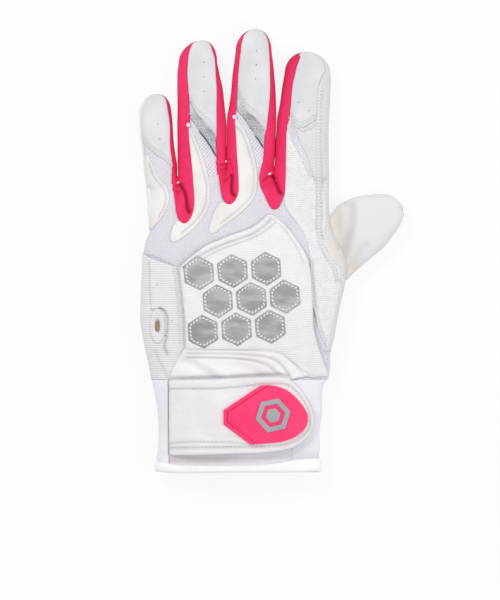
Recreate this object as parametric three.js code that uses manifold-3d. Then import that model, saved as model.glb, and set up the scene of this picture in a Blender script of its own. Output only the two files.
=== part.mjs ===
// Left-hand batting glove, lying palm down. Millimetres, +Z up, fingers along +Y, thumb at +X.
// The origin is on the surface under the middle of the glove.
import * as THREE from 'three';
import { mergeVertices } from 'three/addons/utils/BufferGeometryUtils.js';
import Module from 'manifold-3d';

const wasm = await Module();
wasm.setup();

// Overall sizes of the hand and cuff
const PALM_WIDTH = 100;
const PALM_HEIGHT = 18.5;
const HAND_LENGTH = 149.6; // hem to the middle finger's root line
const HAND_CENTRE_X = -15;
const HEM_Y = -110.5;
const CUFF_LENGTH = 46.25; // hem to the seam where the knit meets the hand
const HEM_LENGTH = 6.5;
const HEM_ROLL = 0.7; // how far the rolled hem stands out from the knit

// Material thicknesses and the seams between pieces
const WALL = 1; // leather, mesh and knit
const OVERLAY = 1; // panels sewn on top
const SEAM_GAP = 0.3; // left between two pieces that touch
const SEAM_HEIGHT = 3; // the palm leather turns up this far at the sides
const SHOULDER_HEIGHT = 6; // below this the side pieces go right round the edge
const SOLE_SINK = 1.2; // flattens the underside where it lies on the surface
const PAD_CROWN = 2.2; // extra height in the middle of the knuckle pad
const PATCH = 0.8; // silver patches on the pad
const OVERRUN = 8; // every cutter runs this far past what it cuts

// Strap over the cuff
const STRAP_THICKNESS = 1.3;
const STRAP_ROOT_THICKNESS = 1.3;
const STRAP_ROOT_LENGTH = 6;
const STRAP_LENGTH = 73;
const STRAP_WIDTH = 36.5;
const STRAP_SET_BACK = 0.35; // from the cuff's seam to the strap's top edge
const strapSewnShare = -0.36; // across the hand, as all shares of the palm width
const cuffSeamShare = 0.29; // the cuff's seam under the strap's free end
const HOOK_THICKNESS = 0.8;
const HOOK_MARGIN = 4;
const HOOK_LENGTH = 44;
const BADGE_THICKNESS = 1.5;
const BADGE_LENGTH = 42.5;
const BADGE_WIDTH = 29.5;
const BADGE_END_SPACE = 3.2; // from the badge's round end to the strap's free end
const BADGE_RISE = 0.55; // above the strap's centre line

// Pull tab on the outer side, with its slot
const TAB_LENGTH = 19;
const TAB_WIDTH = 8.5;
const tabPlaceShares = [-0.416, 0.4846];
const SLOT_LENGTH = 6.5;
const SLOT_WIDTH = 2;

// Silver patches on the knuckle pad
const HEXAGON_CORNERS = 6;
const PATCH_FLATS = 15;
const PATCH_SPACE = 1.8;
const PATCH_ROWS = 3;
const PATCHES_IN_ROW = 3;
const patchesPlaceShares = [0.01, 0.575];
const patchesLeanShare = 0.0699; // rise towards the thumb side, as a share of the way across

// Digits
const DIGITS = {
  pinky: { length: 47.3, height: 12.5, tipHeight: 10.5, tipRound: 9 },
  ring: { length: 69, height: 13.5, tipHeight: 11, tipRound: 11 },
  middle: { length: 71.7, height: 13.5, tipHeight: 11, tipRound: 11 },
  index: { length: 64.3, height: 13.5, tipHeight: 11, tipRound: 11.5 },
  thumb: { length: 38, height: 13, tipHeight: 11, tipRound: 12 },
};
// Lean of each digit towards the thumb side: its way sideways as a share of its way forwards
const digitLeanShares = { pinky: -0.0472, ring: 0, middle: 0.0454, index: 0.0428, thumb: 4.5483 };
// Middle of each root line: across as a share of the palm width, along as a share of the hand length
const digitPlaceShares = {
  pinky: [-0.4005, 0.9475],
  ring: [-0.1955, 0.981],
  middle: [0.0455, 1.001],
  index: [0.3035, 0.9743],
  thumb: [0.474, 0.7437],
};
// Half widths at the root and before the tip, as shares of the palm width.
// The thumb's is a share of the hand length, because its root runs along the hand.
const digitWidthShares = {
  pinky: [0.079, 0.077],
  ring: [0.12, 0.098],
  middle: [0.1175, 0.098],
  index: [0.1365, 0.112],
  thumb: [0.113, 0.113],
};

// Hand and cuff: share of the length, then left and right edge as shares of the palm width
const handEdgeShares = [
  [0, -0.43, 0.4],
  [0.07, -0.42, 0.395],
  [0.2, -0.415, 0.405],
  [0.29, -0.443, 0.415],
  [0.33, -0.45, 0.447],
  [0.392, -0.468, 0.447],
  [0.448, -0.488, 0.465],
  [0.518, -0.5, 0.487],
  [0.583, -0.498, 0.5],
  [0.63, -0.495, 0.51],
  [0.685, -0.492, 0.54],
  [0.755, -0.485, 0.54],
  [0.812, -0.46, 0.5],
  [0.855, -0.462, 0.44],
  [0.928, -0.476, 0.44],
  [1, -0.48, 0.44],
];
const handHeightShares = [
  [0, 0.86],
  [0.29, 0.86],
  [0.4, 0.94],
  [0.55, 1],
  [0.7, 0.97],
  [0.85, 0.82],
  [1, 0.73],
];
// Thumb: share of its length, then both edges as shares of its half width
const thumbEdgeShares = [
  [0, -1, 1],
  [0.17, -1.26, 0.79],
  [0.42, -1.37, 0.49],
  [0.63, -1.34, 0.24],
  [0.77, -1.28, -0.02],
  [0.88, -1.17, -0.23],
  [0.95, -0.97, -0.45],
  [1, -0.74, -0.62],
];

// Seams on the hand: across as a share of the palm width, along as a share of the hand length
const pinkyPanelSeamShares = [
  [-0.44, 1.05],
  [-0.445, 0.81],
  [-0.44, 0.735],
  [-0.365, 0.705],
  [-0.31, 0.68],
  [-0.29, 0.608],
  [-0.275, 0.51],
  [-0.27, 0.415],
  [-0.37, 0.375],
  [-0.38, 0.27],
];
const thumbPanelSeamShares = [
  [0.225, 1.05],
  [0.225, 0.89],
  [0.275, 0.82],
  [0.32, 0.757],
  [0.343, 0.717],
  [0.352, 0.653],
  [0.365, 0.563],
  [0.39, 0.463],
  [0.42, 0.41],
  [0.43, 0.27],
];
const knucklePadShares = [
  [-0.31, 0.683],
  [-0.17, 0.758],
  [-0.055, 0.79],
  [0.045, 0.813],
  [0.145, 0.867],
  [0.19, 0.84],
  [0.27, 0.782],
  [0.31, 0.73],
  [0.34, 0.713],
  [0.35, 0.607],
  [0.375, 0.49],
  [0.405, 0.39],
  [0.44, 0.325],
  [0.345, 0.318],
  [0.318, 0.347],
  [0.255, 0.384],
  [0.205, 0.407],
  [0.135, 0.414],
  [-0.055, 0.417],
  [-0.27, 0.417],
  [-0.275, 0.513],
  [-0.29, 0.61],
];
const wristVampShares = [
  [-0.27, 0.412],
  [-0.055, 0.412],
  [0.135, 0.409],
  [0.203, 0.402],
  [0.25, 0.379],
  [0.313, 0.342],
  [0.338, 0.314],
  [-0.355, 0.314],
  [-0.35, 0.366],
];
const vampRidgeShares = [
  [[-0.2, 0.401], [-0.05, 0.399], [0.13, 0.394], [0.195, 0.38], [0.245, 0.352], [0.285, 0.322]],
  [[-0.2, 0.379], [-0.05, 0.378], [0.1, 0.371], [0.165, 0.355], [0.21, 0.325]],
];
const VAMP_RIDGE_WIDTH = 2.4;
const VAMP_RIDGE_HEIGHT = 0.7;
const lowerLeafShares = {
  pinky: [
    [-0.47, 1.02],
    [-0.36, 1.02],
    [-0.36, 0.893],
    [-0.39, 0.85],
    [-0.435, 0.818],
    [-0.455, 0.83],
  ],
  ring: [
    [-0.235, 1.02],
    [-0.16, 1.02],
    [-0.15, 0.943],
    [-0.155, 0.897],
    [-0.18, 0.866],
    [-0.255, 0.813],
    [-0.325, 0.763],
    [-0.365, 0.766],
    [-0.36, 0.8],
    [-0.34, 0.85],
    [-0.32, 0.833],
    [-0.288, 0.815],
    [-0.25, 0.833],
    [-0.222, 0.873],
    [-0.232, 0.94],
  ],
  middle: [
    [-0.01, 1.02],
    [0.083, 1.02],
    [0.085, 0.973],
    [0.08, 0.93],
    [0.045, 0.893],
    [-0.03, 0.845],
    [-0.09, 0.818],
    [-0.155, 0.79],
    [-0.165, 0.812],
    [-0.12, 0.86],
    [-0.108, 0.897],
    [-0.085, 0.882],
    [-0.058, 0.878],
    [-0.022, 0.893],
    [0.002, 0.925],
    [-0.002, 0.963],
  ],
};
const tongueShares = {
  tongue_pinky_ring: [
    [-0.34, 1.02],
    [-0.24, 1.02],
    [-0.24, 0.95],
    [-0.228, 0.875],
    [-0.25, 0.842],
    [-0.288, 0.825],
    [-0.32, 0.845],
    [-0.335, 0.887],
  ],
  tongue_ring_middle: [
    [-0.125, 1.02],
    [-0.02, 1.02],
    [-0.01, 0.967],
    [-0.006, 0.925],
    [-0.028, 0.9],
    [-0.058, 0.887],
    [-0.085, 0.892],
    [-0.1, 0.91],
  ],
  tongue_middle_index: [
    [0.11, 1.02],
    [0.212, 1.02],
    [0.212, 0.92],
    [0.185, 0.875],
    [0.155, 0.868],
    [0.125, 0.905],
    [0.098, 0.95],
  ],
};

// Seams on the digits: along as a share of the length, across as a share of the half width
const sideSeamShares = {
  pinky: {
    left: [[0, -0.3], [0.15, -0.35], [0.36, -0.68], [0.5, -0.8], [0.9, -0.82], [1.1, -0.9]],
    right: [[0, 0.73], [0.35, 0.74], [0.68, 0.755], [0.9, 0.66], [1.1, 0.6]],
  },
  ring: {
    left: [[0, -0.4], [0.25, -0.54], [0.5, -0.61], [0.85, -0.6], [0.96, -0.5], [1.1, -0.4]],
    right: [[0, 0.6], [0.15, 0.66], [0.35, 0.66], [0.7, 0.69], [0.9, 0.62], [1.1, 0.5]],
  },
  middle: {
    left: [[0, -0.5], [0.2, -0.65], [0.44, -0.685], [0.67, -0.68], [0.9, -0.6], [1.1, -0.5]],
    right: [[0, 0.55], [0.2, 0.6], [0.37, 0.66], [0.68, 0.67], [0.89, 0.6], [1.1, 0.5]],
  },
  index: {
    left: [[0, -0.61], [0.23, -0.64], [0.46, -0.63], [0.62, -0.52], [0.89, -0.42], [1.1, -0.3]],
    right: [[0, 0.52], [0.4, 0.48], [0.7, 0.45], [0.9, 0.45], [1.1, 0.5]],
  },
  thumb: {
    left: [[0, -0.8], [0.17, -1.05], [0.42, -1.16], [0.63, -1.13], [0.8, -1.06], [1.1, -0.95]],
    right: [[0, 0.8], [0.17, 0.58], [0.42, 0.28], [0.63, 0.03], [0.8, -0.2], [1.1, -0.4]],
  },
};
const tipPanelShares = {
  pinky: [
    [0.49, -0.86], [0.36, -0.145], [0.235, 0.68], [0.4, 0.71], [0.68, 0.73], [0.86, 0.62],
    [0.95, 0.38], [0.975, -0.03], [0.93, -0.5], [0.82, -0.8], [0.67, -0.87],
  ],
  ring: [
    [0.757, -0.57], [0.6, -0.454], [0.493, -0.204], [0.384, 0.2125], [0.33, 0.57], [0.42, 0.63],
    [0.68, 0.65], [0.84, 0.57], [0.94, 0.43], [0.975, 0.13], [0.97, -0.24], [0.935, -0.44], [0.855, -0.56],
  ],
  middle: [
    [0.666, -0.64], [0.558, -0.53], [0.447, -0.213], [0.363, 0.19], [0.3, 0.57], [0.366, 0.62],
    [0.677, 0.63], [0.88, 0.55], [0.95, 0.31], [0.975, -0.04], [0.945, -0.37], [0.88, -0.55], [0.78, -0.63],
  ],
  index: [
    [0.529, -0.49], [0.4, -0.048], [0.4475, 0.28], [0.475, 0.42], [0.7, 0.4], [0.856, 0.4],
    [0.955, 0.24], [0.978, -0.04], [0.94, -0.27], [0.88, -0.37], [0.739, -0.46], [0.623, -0.49],
  ],
};
const insertShares = {
  ring: [
    [0.572, -0.49], [0.435, -0.49], [0.304, 0.046], [0.159, 0.61],
    [0.297, 0.55], [0.362, 0.17], [0.471, -0.246],
  ],
  middle: [
    [0.6, -0.62], [0.436, -0.64], [0.307, -0.09], [0.167, 0.545],
    [0.27, 0.553], [0.34, 0.153], [0.425, -0.25], [0.544, -0.557],
  ],
};
const leafShares = {
  ring: [
    [0.39, -0.53], [0.326, -0.41], [0.196, -0.0375], [0.058, 0.233], [0, 0.296],
    [-0.05, 0.3], [-0.05, -0.37], [0, -0.37], [0.254, -0.51],
  ],
  middle: [
    [0.377, -0.62], [0.283, -0.25], [0.098, 0.18], [0, 0.315],
    [-0.05, 0.32], [-0.05, -0.46], [0, -0.46], [0.202, -0.61],
  ],
  index: [
    [0.39, -0.56], [0.233, -0.6], [0, -0.57], [-0.05, -0.57],
    [-0.05, 0.31], [0, 0.31], [0.132, 0.04], [0.272, -0.35],
  ],
};

// Facets
const HAND_SIDES = 22;
const HAND_STATIONS = 13;
const DIGIT_SIDES = 16;
const DIGIT_STATIONS = 3;
const CAP_STATIONS = 4;
const TUBE_POWER = 2.5; // superellipse: 2 is an ellipse, more is squarer

// Layers above the base shell
const overlayFrom = SEAM_GAP;
const overlayTo = SEAM_GAP + OVERLAY;
const loopTo = SEAM_GAP + HOOK_THICKNESS;
const hookFrom = loopTo + SEAM_GAP;
const hookTo = hookFrom + HOOK_THICKNESS;
const strapFrom = hookTo + SEAM_GAP;
const strapTo = strapFrom + STRAP_THICKNESS;

// Outer hulls reach past everything
const reach = HAND_LENGTH + PALM_WIDTH;

// A value from a table of shares, on a smooth curve through its rows
function fromTable(rows, share, column) {
  let at = 0;
  while (at < rows.length - 2 && share > rows[at + 1][0]) at += 1;
  const before = rows[Math.max(at - 1, 0)];
  const from = rows[at];
  const to = rows[at + 1];
  const after = rows[Math.min(at + 2, rows.length - 1)];
  const span = to[0] - from[0];
  const u = Math.min(Math.max((share - from[0]) / span, 0), 1);
  const slopeFrom = ((to[column] - before[column]) / (to[0] - before[0])) * span;
  const slopeTo = ((after[column] - from[column]) / (after[0] - from[0])) * span;
  const u2 = u * u;
  const u3 = u2 * u;
  return (2 * u3 - 3 * u2 + 1) * from[column] + (u3 - 2 * u2 + u) * slopeFrom
    + (3 * u2 - 2 * u3) * to[column] + (u3 - u2) * slopeTo;
}

const signedPower = (value, power) => Math.sign(value) * Math.abs(value) ** power;

// One closed section across the glove: a superellipse flattened where it lies on the surface
function section({ left, right, height, y, cap = 1, power = TUBE_POWER }, offset, sides) {
  const centre = (left + right) / 2;
  const half = ((right - left) / 2 + offset) * cap;
  const middle = height / 2;
  const up = (middle + offset) * cap;
  const down = (middle + offset + SOLE_SINK) * cap;
  const floor = Math.max(0, -offset);
  return Array.from({ length: sides }, (_, side) => {
    const angle = (2 * Math.PI * side) / sides;
    const rise = signedPower(Math.sin(angle), 2 / power);
    const z = middle + rise * (rise > 0 ? up : down);
    return [centre + half * signedPower(Math.cos(angle), 2 / power), y, Math.max(z, floor)];
  });
}

// A closed solid through sections that all have the same number of points
function loft(sections) {
  const sides = sections[0].length;
  const points = sections.flat();
  const ends = [sections[0], sections[sections.length - 1]];
  for (const ring of ends) {
    points.push([0, 1, 2].map((axis) => ring.reduce((sum, point) => sum + point[axis], 0) / sides));
  }
  const startCentre = points.length - 2;
  const endCentre = points.length - 1;
  const lastRing = (sections.length - 1) * sides;
  const triangles = [];
  for (let side = 0; side < sides; side += 1) {
    const next = (side + 1) % sides;
    triangles.push(startCentre, side, next);
    triangles.push(endCentre, lastRing + next, lastRing + side);
    for (let ring = 0; ring < lastRing; ring += sides) {
      triangles.push(ring + side, ring + sides + side, ring + next);
      triangles.push(ring + next, ring + sides + side, ring + sides + next);
    }
  }
  const geometry = new THREE.BufferGeometry();
  geometry.setAttribute('position', new THREE.Float32BufferAttribute(points.flat(), 3));
  geometry.setIndex(triangles);
  return geometry;
}

// A closed three.js geometry as a solid that can be joined and cut
function solid(geometry) {
  const bare = geometry.clone();
  bare.deleteAttribute('normal');
  bare.deleteAttribute('uv');
  const merged = mergeVertices(bare, 1e-4);
  return new wasm.Manifold(new wasm.Mesh({
    numProp: 3,
    vertProperties: new Float32Array(merged.attributes.position.array),
    triVerts: new Uint32Array(merged.index.array),
  }));
}

// An upright solid over an outline, taller than the glove
function prism(outline) {
  const shape = new THREE.Shape(outline.map(([x, y]) => new THREE.Vector2(x, y)));
  const depth = 2 * PALM_WIDTH;
  const geometry = new THREE.ExtrudeGeometry(shape, { depth, bevelEnabled: false, curveSegments: 12 });
  return solid(geometry.translate(0, 0, -PALM_WIDTH));
}

// A box from its two far corners
function block([x0, y0, z0], [x1, y1, z1]) {
  const geometry = new THREE.BoxGeometry(x1 - x0, y1 - y0, z1 - z0);
  return solid(geometry.translate((x0 + x1) / 2, (y0 + y1) / 2, (z0 + z1) / 2));
}

const above = (z) => block([-reach, -reach, z], [reach, reach, reach]);
const below = (z) => block([-reach, -reach, -reach], [reach, reach, z]);
const between = (y0, y1) => block([-reach, y0, -reach], [reach, y1, reach]);

// The same line moved sideways by a distance, to the right of its direction
function movedLine(points, distance, closed = false) {
  const count = points.length;
  return points.map(([x, y], at) => {
    const before = closed ? points[(at + count - 1) % count] : points[Math.max(at - 1, 0)];
    const after = closed ? points[(at + 1) % count] : points[Math.min(at + 1, count - 1)];
    const into = new THREE.Vector2(x - before[0], y - before[1]);
    const out = new THREE.Vector2(after[0] - x, after[1] - y);
    if (into.length() === 0) into.copy(out);
    if (out.length() === 0) out.copy(into);
    into.normalize();
    out.normalize();
    const side = new THREE.Vector2(into.y + out.y, -into.x - out.x).normalize();
    const reachOut = distance / Math.max(side.dot(new THREE.Vector2(into.y, -into.x)), 0.5);
    return [x + side.x * reachOut, y + side.y * reachOut];
  });
}

// A closed outline drawn in by a distance on all sides
function drawnIn(outline, distance) {
  const turn = THREE.ShapeUtils.area(outline.map(([x, y]) => new THREE.Vector2(x, y)));
  return movedLine(outline, turn > 0 ? -distance : distance, true);
}

// Everything on one side of a line that runs from far up to far down, or down to up
function sideOf(line, side) {
  const down = line[0][1] > line[line.length - 1][1];
  const moved = movedLine(line, (down ? -1 : 1) * side * (SEAM_GAP / 2));
  return prism([...moved, [side * reach, moved[moved.length - 1][1]], [side * reach, moved[0][1]]]);
}

// The part of a shell above the palm leather, split into left side, right side and back
function splitAtSeams(shell, leftSeam, rightSeam) {
  const upper = shell.intersect(above(SEAM_HEIGHT + SEAM_GAP / 2));
  const centre = [-1, 1].map((end) => {
    const [left, right] = [leftSeam, rightSeam].map((seam) => (
      seam.reduce((best, point) => (end * point[1] > end * best[1] ? point : best))
    ));
    return [(left[0] + right[0]) / 2, end * reach];
  });
  const low = below(SHOULDER_HEIGHT - SEAM_GAP / 2);
  const high = above(SHOULDER_HEIGHT + SEAM_GAP / 2);
  return {
    left: upper.intersect(sideOf(leftSeam, -1).add(sideOf(centre, -1).intersect(low))),
    right: upper.intersect(sideOf(rightSeam, 1).add(sideOf(centre, 1).intersect(low))),
    back: upper.intersect(high).intersect(sideOf(leftSeam, 1)).intersect(sideOf(rightSeam, -1)),
  };
}

// Hand and cuff shells
const handFrontY = HEM_Y + HAND_LENGTH;
const acrossHand = (share) => HAND_CENTRE_X + share * PALM_WIDTH;
const onHand = ([across, along]) => [acrossHand(across), HEM_Y + along * HAND_LENGTH];
const strapTopY = HEM_Y + CUFF_LENGTH - STRAP_SET_BACK;
const strapLowY = strapTopY - STRAP_WIDTH;
const strapSewnX = acrossHand(strapSewnShare);
const strapEndX = strapSewnX + STRAP_LENGTH;

function handStation(share) {
  return {
    y: HEM_Y + share * HAND_LENGTH,
    left: acrossHand(fromTable(handEdgeShares, share, 1)),
    right: acrossHand(fromTable(handEdgeShares, share, 2)),
    height: fromTable(handHeightShares, share, 1) * PALM_HEIGHT,
  };
}

// The hand's outer surface, moved outwards by an offset and past both ends by the overrun
function handSkin(offset, crown = () => 0) {
  const sections = [];
  for (let step = -1; step <= HAND_STATIONS + 1; step += 1) {
    const share = Math.min(Math.max(step / HAND_STATIONS, 0), 1);
    const past = (step < 0 ? -OVERRUN : 0) + (step > HAND_STATIONS ? OVERRUN : 0);
    const y = HEM_Y + share * HAND_LENGTH + past;
    const station = { ...handStation(share), y };
    const lift = crown(y);
    const ring = section({ ...station, height: station.height + 2 * lift }, offset, HAND_SIDES);
    sections.push(ring.map(([x, sameY, z]) => [x, sameY, Math.max(z - lift, Math.max(0, -offset))]));
  }
  return solid(loft(sections));
}

const handLayer = (inside, outside, fromY, toY) => handSkin(outside)
  .subtract(handSkin(inside))
  .intersect(between(fromY, toY));

// The knuckle pad is highest halfway along
const padLine = knucklePadShares.map((shares) => onHand(shares)[1]);
const padLowY = Math.min(...padLine);
const padHighY = Math.max(...padLine);
function padCrown(y) {
  const share = Math.min(Math.max((y - padLowY) / (padHighY - padLowY), 0), 1);
  return overlayTo + PAD_CROWN * Math.sin(Math.PI * share);
}

// Digits, each in a frame of its own: root line at y = 0, tip along +Y
const digits = Object.fromEntries(Object.entries(DIGITS).map(([name, sizes]) => {
  const [x, y] = onHand(digitPlaceShares[name]);
  const [halfWidth, tipHalfWidth] = digitWidthShares[name].map((share) => (
    share * (name === 'thumb' ? HAND_LENGTH : PALM_WIDTH)
  ));
  const angle = -Math.atan(digitLeanShares[name]);
  return [name, { ...sizes, x, y, angle, halfWidth, tipHalfWidth }];
}));
const digitMatrix = (digit) => new THREE.Matrix4()
  .makeRotationZ(digit.angle)
  .setPosition(digit.x, digit.y, 0);
const onDigit = (digit) => ([along, across]) => [across * digit.halfWidth, along * digit.length];

function digitStation(name, share) {
  const digit = digits[name];
  const capFrom = 1 - digit.tipRound / digit.length;
  const intoCap = Math.max(0, (share - capFrom) / (1 - capFrom));
  const round = Math.sqrt(Math.max(1 - intoCap * intoCap, 0.01));
  const reached = Math.min(share / capFrom, 1);
  const height = digit.height + (digit.tipHeight - digit.height) * reached;
  if (name === 'thumb') {
    const left = fromTable(thumbEdgeShares, share, 1) * digit.halfWidth;
    const right = fromTable(thumbEdgeShares, share, 2) * digit.halfWidth;
    return { left, right, height, round, capWidth: 1 };
  }
  const half = digit.halfWidth + (digit.tipHalfWidth - digit.halfWidth) * reached * reached;
  return { left: -half, right: half, height, round, capWidth: round };
}

function digitSection(name, share, offset, y) {
  const station = digitStation(name, share);
  const centre = (station.left + station.right) / 2;
  const half = ((station.right - station.left) / 2) * station.capWidth;
  const squeezed = { ...station, y, left: centre - half, right: centre + half };
  const ring = section(squeezed, offset * station.round, DIGIT_SIDES);
  const middle = station.height / 2;
  return ring.map(([x, sameY, z]) => [x, sameY, middle + (z - middle) * station.round]);
}

function digitSkin(name, offset, startY) {
  const digit = digits[name];
  const length = digit.length + offset;
  const capFrom = 1 - digit.tipRound / digit.length;
  const shares = [];
  for (let step = 0; step < DIGIT_STATIONS; step += 1) shares.push((capFrom * step) / DIGIT_STATIONS);
  for (let step = 0; step <= CAP_STATIONS; step += 1) {
    const turn = (Math.PI / 2) * (step / CAP_STATIONS);
    shares.push(capFrom + (1 - capFrom) * Math.sin(turn));
  }
  const sections = shares.map((share, at) => (
    digitSection(name, share, offset, at === 0 ? startY : Math.max(share * length, startY))
  ));
  return solid(loft(sections));
}

const digitRootY = SEAM_GAP / 2;
const digitLayer = (name, inside, outside) => digitSkin(name, outside, digitRootY)
  .subtract(digitSkin(name, inside, digitRootY - OVERRUN));

// Colours and gloss of the materials
const FINISHES = {
  leather: { color: '#ebe6dd', roughness: 0.6, metalness: 0 },
  panel: { color: '#e4e3e6', roughness: 0.55, metalness: 0 },
  mesh: { color: '#dfdaea', roughness: 0.85, metalness: 0 },
  knit: { color: '#d9d1e2', roughness: 0.9, metalness: 0 },
  pink: { color: '#f02d69', roughness: 0.7, metalness: 0 },
  rubber: { color: '#fa3c78', roughness: 0.45, metalness: 0 },
  silver: { color: '#a2a2a6', roughness: 0.35, metalness: 0.5 },
  hook: { color: '#d8d8d8', roughness: 0.95, metalness: 0 },
};

const glove = new THREE.Group();

function place(name, finish, shape, parent = glove) {
  const mesh = shape.getMesh();
  const geometry = new THREE.BufferGeometry();
  geometry.setAttribute('position', new THREE.BufferAttribute(mesh.vertProperties, 3));
  geometry.setIndex(new THREE.BufferAttribute(mesh.triVerts, 1));
  const piece = new THREE.Mesh(geometry, new THREE.MeshStandardMaterial(FINISHES[finish]));
  piece.name = name;
  parent.add(piece);
}

// Places where the digits meet the hand
const digitCuts = Object.entries(digits).map(([name, digit]) => {
  const onEdge = { pinky: [-1, 0], index: [0, 1], thumb: [0, 1] }[name] ?? [0, 0];
  const leftX = -digit.halfWidth - 2.5 * SEAM_GAP + onEdge[0] * OVERRUN;
  const rightX = digit.halfWidth + 2.5 * SEAM_GAP + onEdge[1] * OVERRUN;
  const geometry = new THREE.BoxGeometry(rightX - leftX, digit.length, 2 * PALM_WIDTH);
  geometry.translate((leftX + rightX) / 2, digit.length / 2 - SEAM_GAP / 2, 0);
  return solid(geometry.applyMatrix4(digitMatrix(digit)));
});
const withoutDigits = (shape) => digitCuts.reduce((left, cut) => left.subtract(cut), shape);

// Hand: palm leather, two side panels and the mesh back
function makeHand() {
  const fromY = HEM_Y + CUFF_LENGTH + SEAM_GAP / 2;
  const toY = handFrontY - SEAM_GAP / 2;
  const shell = withoutDigits(handLayer(-WALL, 0, fromY, toY));
  const parts = splitAtSeams(shell, pinkyPanelSeamShares.map(onHand), thumbPanelSeamShares.map(onHand));
  place('palm_leather', 'leather', shell.intersect(below(SEAM_HEIGHT - SEAM_GAP / 2)));
  place('pinky_side_panel', 'leather', parts.left);
  place('thumb_side_panel', 'panel', parts.right);
  place('back_mesh', 'mesh', parts.back);
}

// Panels sewn on the back of the hand
function makeHandOverlays() {
  const fromY = HEM_Y + CUFF_LENGTH + SEAM_GAP / 2;
  const toY = handFrontY - SEAM_GAP / 2;
  const layer = withoutDigits(handLayer(overlayFrom, overlayTo, fromY, toY))
    .intersect(above(SHOULDER_HEIGHT));
  const inLayer = (shares) => layer.intersect(prism(drawnIn(shares.map(onHand), SEAM_GAP / 2)));
  const ridgeLayer = handLayer(overlayFrom, overlayTo + VAMP_RIDGE_HEIGHT, fromY, toY)
    .intersect(above(SHOULDER_HEIGHT));
  let vamp = inLayer(wristVampShares);
  for (const ridge of vampRidgeShares) {
    const line = ridge.map(onHand);
    const outline = [
      ...movedLine(line, -VAMP_RIDGE_WIDTH / 2),
      ...movedLine(line, VAMP_RIDGE_WIDTH / 2).reverse(),
    ];
    vamp = vamp.add(ridgeLayer.intersect(prism(outline)));
  }
  place('wrist_vamp', 'leather', vamp);
  for (const [name, shares] of Object.entries(lowerLeafShares)) {
    place(`${name}_lower_leaf`, 'leather', inLayer(shares));
  }
  for (const [name, shares] of Object.entries(tongueShares)) place(name, 'pink', inLayer(shares));
}

// Padded knuckle panel and its silver patches
function makeKnucklePad() {
  const outline = prism(drawnIn(knucklePadShares.map(onHand), SEAM_GAP / 2));
  const pad = handSkin(0, padCrown).subtract(handSkin(overlayFrom));
  place('knuckle_pad', 'panel', pad.intersect(outline).intersect(above(SHOULDER_HEIGHT)));
  const patchLayer = handSkin(SEAM_GAP + PATCH, padCrown)
    .subtract(handSkin(SEAM_GAP, padCrown))
    .intersect(above(SHOULDER_HEIGHT));
  const [middleX, middleY] = onHand(patchesPlaceShares);
  const pitch = PATCH_FLATS + PATCH_SPACE;
  const rowPitch = pitch * Math.sin(Math.PI / 3);
  const tilt = Math.atan(patchesLeanShare);
  const corner = PATCH_FLATS / 2 / Math.cos(Math.PI / HEXAGON_CORNERS);
  for (let row = 0; row < PATCH_ROWS; row += 1) {
    for (let column = 0; column < PATCHES_IN_ROW; column += 1) {
      const stagger = row % 2 === 0 ? -0.25 : 0.25;
      const along = (column - (PATCHES_IN_ROW - 1) / 2 + stagger) * pitch;
      const up = ((PATCH_ROWS - 1) / 2 - row) * rowPitch;
      const x = middleX + along * Math.cos(tilt) - up * Math.sin(tilt);
      const y = middleY + along * Math.sin(tilt) + up * Math.cos(tilt);
      const hexagon = Array.from({ length: HEXAGON_CORNERS }, (_, at) => {
        const angle = tilt + (Math.PI * (2 * at + 1)) / HEXAGON_CORNERS;
        return [x + corner * Math.cos(angle), y + corner * Math.sin(angle)];
      });
      const number = row * PATCHES_IN_ROW + column + 1;
      place(`silver_patch_${number}`, 'silver', patchLayer.intersect(prism(hexagon)));
    }
  }
}

// Knit cuff in four panels, with a rolled hem
function makeCuff() {
  const hemTopY = HEM_Y + HEM_LENGTH;
  const fromY = hemTopY + SEAM_GAP / 2;
  const toY = HEM_Y + CUFF_LENGTH - SEAM_GAP / 2;
  const shell = handLayer(-WALL, 0, fromY, toY);
  const outerX = strapSewnX - SEAM_GAP;
  const innerX = acrossHand(cuffSeamShare);
  const [outerSeam, innerSeam] = [outerX, innerX].map((x) => [[x, toY + OVERRUN], [x, fromY - OVERRUN]]);
  const parts = splitAtSeams(shell, outerSeam, innerSeam);
  place('cuff_palm', 'knit', shell.intersect(below(SEAM_HEIGHT - SEAM_GAP / 2)));
  place('cuff_pinky_side', 'knit', parts.left);
  place('cuff_thumb_side', 'knit', parts.right);
  place('cuff_back', 'knit', parts.back);
  place('cuff_hem', 'panel', handLayer(-WALL - HEM_ROLL / 2, HEM_ROLL, HEM_Y, hemTopY - SEAM_GAP / 2));
}

// Strap with its round free end, hook and loop patches and badge
function strapOutline(margin) {
  const topY = strapTopY - margin;
  const lowY = strapLowY + margin;
  const endX = strapEndX - margin;
  const middleY = (topY + lowY) / 2;
  const round = (topY - lowY) * 0.62;
  const shape = new THREE.Shape();
  shape.moveTo(strapSewnX, topY);
  shape.lineTo(endX - round * 0.75, topY);
  shape.bezierCurveTo(endX - round * 0.35, topY, endX, middleY + round * 0.3, endX, middleY);
  shape.bezierCurveTo(endX, lowY + round * 0.35, endX - round * 0.45, lowY, endX - round, lowY);
  shape.lineTo(strapSewnX, lowY);
  return shape.getPoints(7).map((point) => [point.x, point.y]);
}

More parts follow.
